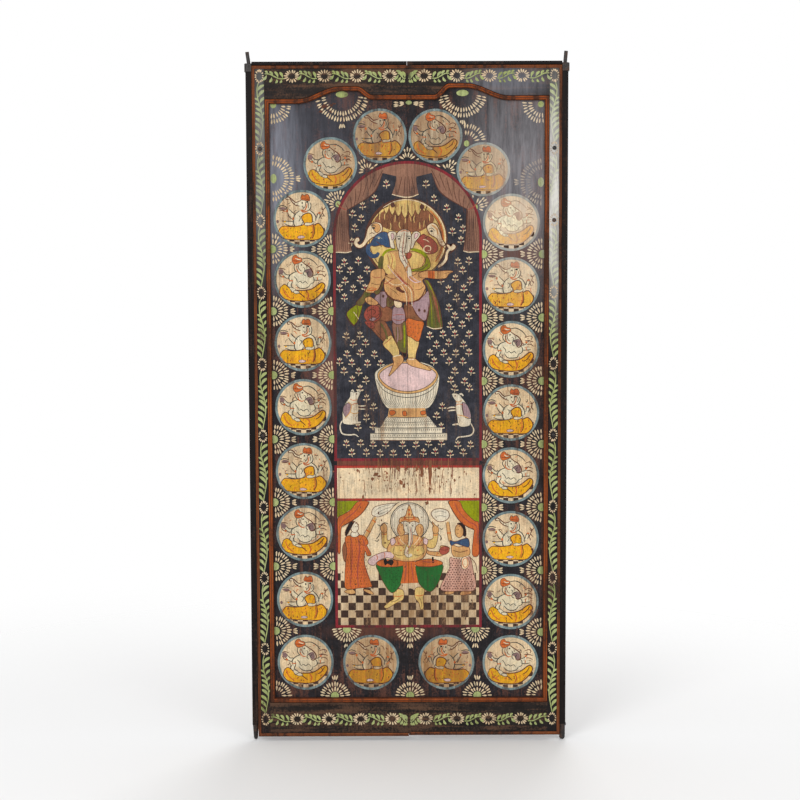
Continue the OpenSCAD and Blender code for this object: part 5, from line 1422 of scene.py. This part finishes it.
floorSquares = {"side": 22.5, "foot": 334, "gap": 0.3, "places": ((5, -5), (5, -3), (5, 3), (6, -4), (6, 4))}
seated = [
    ("flat", band, (0.5, "panel"), 0, (-211, 814, 211, 814, 211, 838, -211, 838)),
    ("flat", lime, 1.2, 0, (-211, 709, -150, 709, -158, 692, -178, 680, -200, 664, -211, 660), (152, 709,
      211, 709, 211, 642, 196, 650, 176, 668, 160, 686)),
    ("fill", orange, 1.3, 0, (-150, 707, -118, 707, -124, 690, -140, 670, -160, 655, -185, 640, -199, 630,
      -202, 600, -203, 556, -210, 554, -210, 600, -210, 656, -195, 668, -172, 682), (120, 707, 152, 707,
      162, 686, 178, 666, 198, 648, 210, 642, 210, 600, 210, 546, 191, 546, 194, 600, 196, 622, 180, 628,
      160, 642, 142, 664, 128, 688)),
    ("line", rust, 1.7, 3, (-140, 704, -160, 676, -190, 652, -206, 630), (138, 704, 152, 674, 180, 646, 204,
      630, 206, 580)),
    ("line", brown, 1.6, 2, (-118, 708, -125, 690, -141, 669, -162, 653, -198, 630), (119, 708, 127, 688,
      141, 664, 160, 641, 195, 621)),
    ("fill", white, 1.3, 1.6, (-109, 668, -103, 688, -76, 698, -36, 702, -44, 692, -54, 680, -70, 668, -91,
      661)),
    ("line", ink, 1.35, 1.1, (-98, 668, -76, 682, -48, 692), (-94, 665, -78, 672, -60, 680)),
    ("fill", white, 1.3, 2, (68, 668, 77, 682, 98, 685, 118, 678, 122, 662, 110, 649, 87, 647)),
    ("line", ink, 1.35, 1.1, (-101, 676, -84, 690, -56, 697)),
    ("line", ink, 1.35, 1.2, (78, 674, 96, 678, 114, 672), (80, 662, 98, 664, 114, 660)),
    ("line", ink, 1.5, 1.6, (-48, 694, -36, 700, -26, 706)),
    ("flat", white, 1.2, 0, oval(4, 646, 57, 57, 0, 40)),
    ("ring", ink, 1.5, (57, 57, 2.4), (4, 646)),
    ("ring", brown, 1.5, (53, 53, 1.2), (4, 646)),
    ("fill", halo, 1.55, 1.6, (-40, 600, -56, 591, -63, 594, -65, 622, -79, 622, -79, 592, -77, 574, -66,
      566, -52, 572, -40, 584), (42, 600, 58, 592, 66, 592, 74, 598, 75, 620, 88, 620, 87, 592, 81, 572, 70,
      565, 56, 570, 42, 584)),
    ("fill", tan, 1.6, 1.5, (-80, 617, -83, 630, -78, 640, -72, 642, -64, 633, -64, 618, -72, 612), (76,
      611, 72, 623, 73, 635, 71, 647, 79, 637, 89, 629, 90, 617, 84, 610)),
    ("line", orange, 1.65, 3, (-80, 610, -72, 608, -64, 610), (74, 607, 81, 605, 89, 608)),
    ("line", ink, 1.65, 2, (-96, 594, -89, 603, -83, 614)),
    ("line", ink, 1.65, 2.2, (-92, 638, -81, 634, -72, 643, -60, 640)),
    ("line", ink, 1.65, 2, (-100, 590, -92, 588, -88, 594), (62, 652, 71, 640, 77, 630)),
    ("line", ink, 1.65, 1.8, (88, 612, 97, 600, 95, 588)),
    ("line", ink, 1.65, 1.6, (92, 628, 100, 622, 104, 628)),
    ("fill", tan, 1.7, 2, (-36, 601, -54, 584, -63, 566, -60, 547, -48, 535, -25, 527, 5, 526, 29, 530, 47,
      540, 55, 560, 53, 578, 42, 596, 29, 604, 5, 608, -18, 606)),
    ("soft", halo, 1.85, 0, (-52, 566, -20, 576, 24, 576, 48, 564, 42, 546, 12, 533, -24, 534, -48, 550)),
    ("line", brown, 1.95, 1.5, (-52, 584, -34, 574, -10, 576), (52, 584, 38, 574, 16, 576)),
    ("line", rust, 1.95, 1.7, (-36, 600, -30, 584, -12, 566), (42, 598, 36, 584, 18, 566)),
    ("line", cream, 1.94, 1.8, (-28, 604, -22, 590, -6, 574), (34, 602, 28, 590, 14, 574)),
    ("line", brown, 1.95, 1.4, (-46, 552, -28, 544, -10, 548), (46, 552, 30, 544, 18, 548)),
    ("line", brown, 1.95, 1.2, (-40, 572, -46, 556, -38, 540), (42, 570, 48, 556, 38, 542)),
    ("dots", orange, 1.96, (2, 2), (-40, 590, -26, 596, -30, 580, 40, 590, 28, 596, 32, 580, -22, 560, 28,
      560)),
    ("fill", pink, 2.1, 1.4, (-54, 591, -43, 597, -38, 585, -49, 575), (47, 597, 58, 591, 55, 577, 45,
      583)),
    ("fill", tan, 1.8, 1.5, (-27, 641, -34, 624, -30, 610, -21, 603, -11, 612, -11, 630, -18, 640), (29,
      638, 39, 638, 46, 626, 43, 609, 35, 601, 27, 608, 22, 626)),
    ("line", rust, 1.85, 1.5, (-24, 634, -29, 622, -22, 610), (33, 632, 40, 622, 34, 608)),
    ("fill", white, 2.2, 1.6, (-13, 646, 3, 652, 20, 646, 22, 630, 14, 613, -7, 613, -14, 629)),
    ("fill", tan, 2.4, 1.8, (-27, 643, -24, 658, -9, 664, -3, 683, 3, 696, 9, 683, 16, 663, 30, 658, 33,
      643, 18, 648, 3, 645, -12, 648)),
    ("line", orange, 2.5, 3.4, (-22, 650, -8, 654, 3, 651, 16, 654, 28, 650)),
    ("dots", orange, 2.5, (3.4, 4), (-10, 658, 3, 668, 17, 658, 3, 682)),
    ("line", brown, 2.6, 1.4, (-20, 656, 3, 660, 26, 656)),
    ("dots", black, 2.5, (3, 1.8), (-5, 634, 13, 634)),
    ("dots", brown, 2.5, (1.6, 2.4), (4, 642)),
    ("line", ink, 2.5, 1.3, (-9, 638, -5, 640, -1, 638), (9, 638, 13, 640, 17, 638)),
    ("line", white, 2.5, 12, (3, 636, 7, 610, 6, 584, -3, 565, -6, 551, 1, 544, 10, 548)),
    ("line", ink, 2.9, 1.5, (-3, 632, 1, 608, 0, 586, -9, 566, -12, 550, -2, 538, 12, 543)),
    ("line", rust, 2.9, 2.4, (5, 632, 9, 608, 8, 584, 0, 565, -4, 553, 1, 547)),
    ("line", ink, 2.9, 1.5, (9, 630, 13, 606, 12, 584, 4, 566, 2, 554)),
    ("fill", pink, 1.75, 1.6, (-44, 551, -66, 556, -90, 550, -111, 539, -121, 528, -115, 517, -102, 515,
      -90, 528, -66, 538, -47, 536)),
    ("line", orange, 1.9, 2.2, (-72, 554, -70, 546, -72, 537), (-96, 546, -92, 538, -96, 530)),
    ("fill", tan, 1.6, 1.6, (50, 568, 60, 558, 74, 556, 92, 556, 106, 564, 112, 554, 96, 542, 74, 544, 56,
      550)),
    ("fill", rust, 1.9, 1.6, (92, 560, 102, 570, 118, 570, 122, 558, 112, 548, 98, 548)),
    ("line", brown, 2.0, 1.6, (94, 562, 106, 560, 118, 562)),
    ("line", orange, 2.0, 2, (84, 556, 86, 550, 84, 543)),
    ("fill", orange, 1.8, 1.6, (-95, 520, -84, 530, -56, 532, -14, 526, -16, 514, -50, 510, -82, 512), (22,
      526, 60, 534, 94, 528, 101, 518, 70, 511, 40, 511, 24, 514)),
    ("soft", black, 2.2, 0, (-74, 530, -68, 536, -62, 528, -52, 534, -44, 526, -50, 514, -62, 520, -70,
      514)),
    ("flat", black, 2.2, 0, (70, 540, 75, 540, 77, 522, 71, 522)),
    ("line", fold, 2.2, 2, (-36, 530, -32, 522, -34, 514)),
    ("line", rust, 2.2, 3, (40, 528, 60, 524, 84, 528)),
    ("fill", green, 1.7, 1.6, (-95, 518, -54, 510, -16, 513, -19, 485, -24, 455, -50, 431, -74, 462, -88,
      492), (23, 513, 65, 509, 102, 517, 98, 485, 82, 449, 62, 434, 35, 455, 26, 479)),
    ("flat", orange, 2.0, 0, (-16, 526, 20, 526, 21, 503, 29, 462, -24, 460, -15, 497)),
    ("line", rust, 2.4, 3, (-6, 524, -8, 496, -12, 464), (8, 524, 12, 496, 16, 464)),
    ("fill", halo, 1.6, 1.6, (-45, 440, -17, 440, -15, 413, -37, 400, -63, 385, -73, 390, -55, 406, -44,
      414), (22, 446, 47, 444, 44, 413, 45, 385, 36, 382, 31, 401, 19, 418)),
    ("line", orange, 1.9, 2.4, (-46, 422, -30, 420, -16, 424), (21, 424, 33, 422, 45, 425)),
    ("line", brown, 1.9, 1.5, (-52, 404, -36, 408, -24, 418), (32, 418, 38, 404, 40, 386)),
    ("fill", orange, 1.6, 0, (-188, 600, -160, 606, -140, 605, -123, 572, -111, 548, -123, 544, -129, 558,
      -131, 520, -112, 462, -112, 450, -150, 446, -187, 444, -190, 480, -188, 520, -184, 560)),
    ("fill", umber, 1.5, 0, (-196, 572, -186, 588, -178, 560, -178, 528, -190, 526, -196, 548)),
    ("line", rust, 1.9, 4, (-150, 600, -146, 560, -152, 500, -150, 450)),
    ("line", rust, 1.9, 3, (-170, 598, -168, 540, -174, 450), (-136, 596, -128, 572, -118, 550)),
    ("fill", white, 1.9, 0, (-172, 604, -160, 600, -148, 606, -152, 616, -168, 616)),
    ("fill", white, 2.0, 0, oval(-160, 630, 12, 16)),
    ("fill", black, 2.2, 0, (-172, 646, -160, 648, -166, 638, -174, 622, -186, 604, -188, 616, -180, 634)),
    ("dots", umber, 2.3, (2, 2), (-156, 642, -164, 646, -150, 638)),
    ("dots", brown, 2.3, (1.7, 1.2), (-157, 632, -152, 632)),
    ("line", brown, 2.3, 1.1, (-157, 622, -154, 621, -151, 622)),
    ("line", tan, 1.8, 10, (-134, 590, -116, 624, -98, 660)),
    ("line", brown, 1.85, 1.6, (-139, 598, -122, 628, -103, 662), (-129, 588, -111, 620, -94, 656)),
    ("line", orange, 2.0, 4, (-125, 622, -113, 614), (-107, 652, -97, 644)),
    ("fill", orange, 1.84, 0, (-150, 604, -136, 606, -124, 596, -120, 580, -134, 576, -146, 586)),
    ("line", tan, 1.8, 10, (126, 584, 121, 612, 117, 646)),
    ("line", brown, 1.85, 1.6, (121, 586, 116, 612, 112, 644), (131, 590, 126, 614, 122, 646)),
    ("line", orange, 2.0, 4, (116, 612, 127, 612)),
    ("fill", tan, 1.6, 0, (-192, 436, -170, 444, -158, 432, -174, 428), (-136, 442, -116, 440, -104, 428,
      -120, 430)),
    ("fill", rose, 1.6, 0, (126, 538, 180, 542, 193, 500, 200, 442, 150, 436, 97, 440, 110, 480, 124, 510)),
    ("fill", blue, 1.8, 0, (124, 590, 140, 586, 164, 594, 179, 594, 181, 570, 160, 574, 142, 580, 128,
      574)),
    ("fill", tan, 1.7, 0, (130, 574, 150, 570, 179, 572, 182, 546, 150, 538, 132, 546)),
    ("line", brown, 2.0, 2, (134, 560, 154, 554, 178, 560)),
    ("line", cream, 2.0, 4, (130, 540, 154, 536, 180, 542)),
    ("fill", tan, 1.7, 0, (124, 566, 112, 560, 96, 566, 98, 574, 114, 572)),
    ("fill", tan, 2.0, 0, oval(152, 618, 13, 20)),
    ("fill", black, 2.2, 0, (146, 640, 160, 642, 170, 628, 172, 604, 164, 604, 164, 622, 156, 634)),
    ("dots", umber, 2.3, (2, 2), (144, 634, 152, 632, 172, 598)),
    ("dots", brown, 2.3, (1.7, 1.2), (145, 622, 150, 622)),
    ("line", brown, 2.3, 1.1, (144, 611, 147, 610, 150, 611)),
    ("fill", cream, 2.0, 0, (160, 536, 172, 540, 182, 524, 176, 506, 162, 504, 158, 520)),
    ("ring", orange, 2.2, (8, 14, 2), (170, 522)),
    ("fill", tan, 1.5, 0, (110, 434, 136, 438, 132, 428, 112, 426), (160, 436, 184, 436, 186, 428, 156,
      424)),
    ("line", brown, 1.5, 2, (182, 540, 200, 520, 206, 490)),
]
near, far = floorSquares["gap"], floorSquares["side"] - floorSquares["gap"]
for row, column in floorSquares["places"]:  # squares of the floor between the figures
    x, z = floorSquares["side"] * column, floorSquares["foot"] + floorSquares["side"] * row
    square = [(x + a, z + b) for a, b in ((near, near), (far, near), (far, far), (near, far))]
    layShape("floorSquares", check, square)
paintPicture("seatedScene", seated, "second", shake=0.25, edge=1.6)
# patterns printed on cloth: the first mark, the pitch, the shift of odd rows and the height where they end;
# an edge has a place, a slope and the height that the slope starts from
prints = {"rows": 17, "columns": 14,
          "skirt": (100, 444, 8, 7, 4, 536), "skirtEdges": ((101, 0.3, 442), (197, -0.2, 442)),
          "arm": (156, 184, 500), "skirtDot": (2.2, 1.8, 0, 7),
          "dress": (-186, 450, 7, 9, 3.5, 598), "dressEdges": ((-185, 0, 450), (-116, -0.12, 450)),
          "dash": 2, "dashWidth": 1.7,
          "legs": (-92, 436, 7, 9, 0, 510), "legDot": (1.4, 1.2, 0, 6),
          "legEdges": (((-84, -0.5, 512), (-22, 0, 512)), ((28, 0, 512), (96, 0.5, 512)))}


def printSpot(kind, row, k):
    x, z, dx, dz, shift, end = prints[kind]
    spot = (x + dx * k + (shift if row % 2 else 0), z + dz * row)
    return *spot, spot[1] < end


def between(x, z, edges):
    low, high = (place + slope * (z - start) for place, slope, start in edges)
    return low < x < high


for row in range(prints["rows"]):
    for k in range(prints["columns"]):
        x, z, below = printSpot("skirt", row, k)
        left, right, high = prints["arm"]  # an arm hangs before the skirt
        if below and between(x, z, prints["skirtEdges"]) and not (left < x < right and z > high):
            spot = oval(x + around(1), z + around(1), *prints["skirtDot"])
            layShape("seatedScene", fold, spot, 2.0, "second")
        x, z, below = printSpot("dress", row, k)
        if below and between(x, z, prints["dressEdges"]):
            dash = [(x, z + prints["dash"]), (x + around(2), z - prints["dash"])]
            layLine("seatedScene", rust if k % 2 else brown, dash, prints["dashWidth"], 2.1, "second")
        x, z, below = printSpot("legs", row, k)
        if below and row % 2 == k % 2 and any(between(x, z, edges) for edges in prints["legEdges"]):
            layShape("seatedScene", black, oval(x + around(1), z, *prints["legDot"]), 2.0, "second")
for line in ((-211, 811, -60, 811.4, 0, 811), (0, 811, 80, 811.4, 211, 811), (-211, 713.5, 0, 713.8),
             (0, 713.8, 211, 713.5)):  # red lines above and below the cream band
    layLine("seatedScene", vermilion, pairs(line), 6.5, 1, "coat", 1)
print("lower picture painted")


# scratches in the cream band and where the paint has gone

wearMarks = {"scratches": 170, "scratchX": (15, 90), "scratchZ": (722, 84), "scratchRun": (5, 40, 2),
             "scratchWidth": (0.5, 1.5, 2), "bandTop": 808, "scratchHalf": 205,
             "runs": 80, "runX": (5, 62), "runLow": (808, -36, 2), "runHigh": (838, 40, 2), "runHalf": 200,
             "runZ": (836, 822, 818), "runWidths": ((0.8, 2), (0.6, 1)),
             "crestFlakes": 9, "bandSpecks": 90, "sceneSpecks": 46,
             "flakes": ((-22, 764, 6, 8), (-12, 754, 4, 7), (66, 786, 4, 40), (64, 740, 3, 12),
                        (40, 800, 5, 18), (26, 806, 4, 12), (-96, 788, 7, 5), (-86, 783, 5, 3),
                        (-106, 774, 4, 5), (-134, 712, 4, 14), (56, 702, 5, 6), (130, 784, 3, 5),
                        (138, 770, 3, 4),
                        (-30, 806, 5, 7), (92, 808, 4, 7), (-150, 800, 4, 5), (-6, 806, 3, 6))}


def flake(x, z, rx, rz, paint, count=13, on="coat"):
    turns = [math.tau * i / count for i in range(count)]
    loop = [(x + rx * math.cos(a) * (1 + around(0.45)), z + rz * math.sin(a) * (1 + around(0.35)))
            for a in turns]
    layShape("wearMarks", paint, smooth(loop, True, 2), 8, on)


for k in range(wearMarks["scratches"]):  # thickest near the meeting line
    x = hand.gauss(*wearMarks["scratchX"])
    z, run = drawn(*wearMarks["scratchZ"]), drawn(*wearMarks["scratchRun"])
    high = min(z + run, wearMarks["bandTop"])
    if abs(x) < wearMarks["scratchHalf"]:
        line = [(x, high), (x + around(1), (z + high) / 2), (x + around(1.4), z)]
        layLine("wearMarks", umber, line, drawn(*wearMarks["scratchWidth"]), 8)
for mark in wearMarks["flakes"]:
    flake(*mark, umber)
for k in range(wearMarks["runs"]):  # paint that has run or worn off above and below the band
    x, low = hand.gauss(*wearMarks["runX"]), drawn(*wearMarks["runLow"])
    high, up = drawn(*wearMarks["runHigh"]), k % 3 == 0
    if abs(x) < wearMarks["runHalf"]:
        paint = fold if up else (band, umber)[k % 2]
        start, middle, end = wearMarks["runZ"]
        line = [(x, high if up else start), (x + around(2), middle), (x + around(2), end if up else low)]
        layLine("wearMarks", paint, line, drawn(*wearMarks["runWidths"][up]), 8.2)
for k in range(wearMarks["crestFlakes"]):  # the panel worn beside the left crest's fan
    flake(-236 + around(24), 1866 + around(14), drawn(3, 4), drawn(2, 3), fold, 11, "panel")
for k in range(wearMarks["bandSpecks"]):
    flake(hand.gauss(10, 100), drawn(724, 84, 0.6), drawn(0.8, 1.6), drawn(1, 2.4), umber, 6)
for k in range(wearMarks["sceneSpecks"]):
    flake(around(200), drawn(345, 360), drawn(0.7, 1.6), drawn(1, 3), fold, 6, "second")
print("wear marked")


# a dark solid in the gap between the leaves: painted shade of the gap, so that only a hairline is left
# between the leaves

gapShade = {"rows": 160, "low": 16, "high": 2004, "front": -16.6, "rear": 4.8, "edge": 0.6,
          "gap": (0.012, 0.03)}


def layGapShade(side, v):
    verts, faces = [], []
    for k in range(v["rows"] + 1):
        z = v["low"] + (v["high"] - v["low"]) * k / v["rows"]
        inner = hand.uniform(*v["gap"])
        ring = ((v["edge"], v["front"]), (v["edge"], v["rear"]), (inner, v["rear"]), (inner, v["front"]))
        for x, y in ring:
            verts.append((side * x / 1000, y / 1000, z / 1000))
    for k in range(v["rows"]):
        for j in range(4):
            a, b = 4 * k + j, 4 * k + (j + 1) % 4
            faces.append([a, b, b + 4, a + 4] if side < 0 else [a, a + 4, b + 4, b])
    last = 4 * v["rows"]
    ends = [[0, 3, 2, 1], [last, last + 1, last + 2, last + 3]]
    faces += ends if side < 0 else [end[::-1] for end in ends]
    piece = addPiece("meetingGapShade" + ("Left" if side < 0 else "Right"), verts, faces, "darkWood")
    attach(piece, "left_leaf" if side < 0 else "right_leaf")


layGapShade(-1, gapShade)
layGapShade(1, gapShade)

pieces = buildPieces()
for side, word in ((-1, "left_"), (1, "right_")):
    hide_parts(word + "vine_flowers")
    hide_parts(word + "fan_buds")
    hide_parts(word + "niche_curtain")
    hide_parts(word + "standing_figure")
    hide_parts(word + "pedestal_and_mouse")
    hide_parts(word + "seated_group")
corners = sum(sum(len(p.vertices) - 2 for p in piece.data.polygons) for piece in pieces.values())
print("painted pieces:", len(pieces), "triangles:", corners)
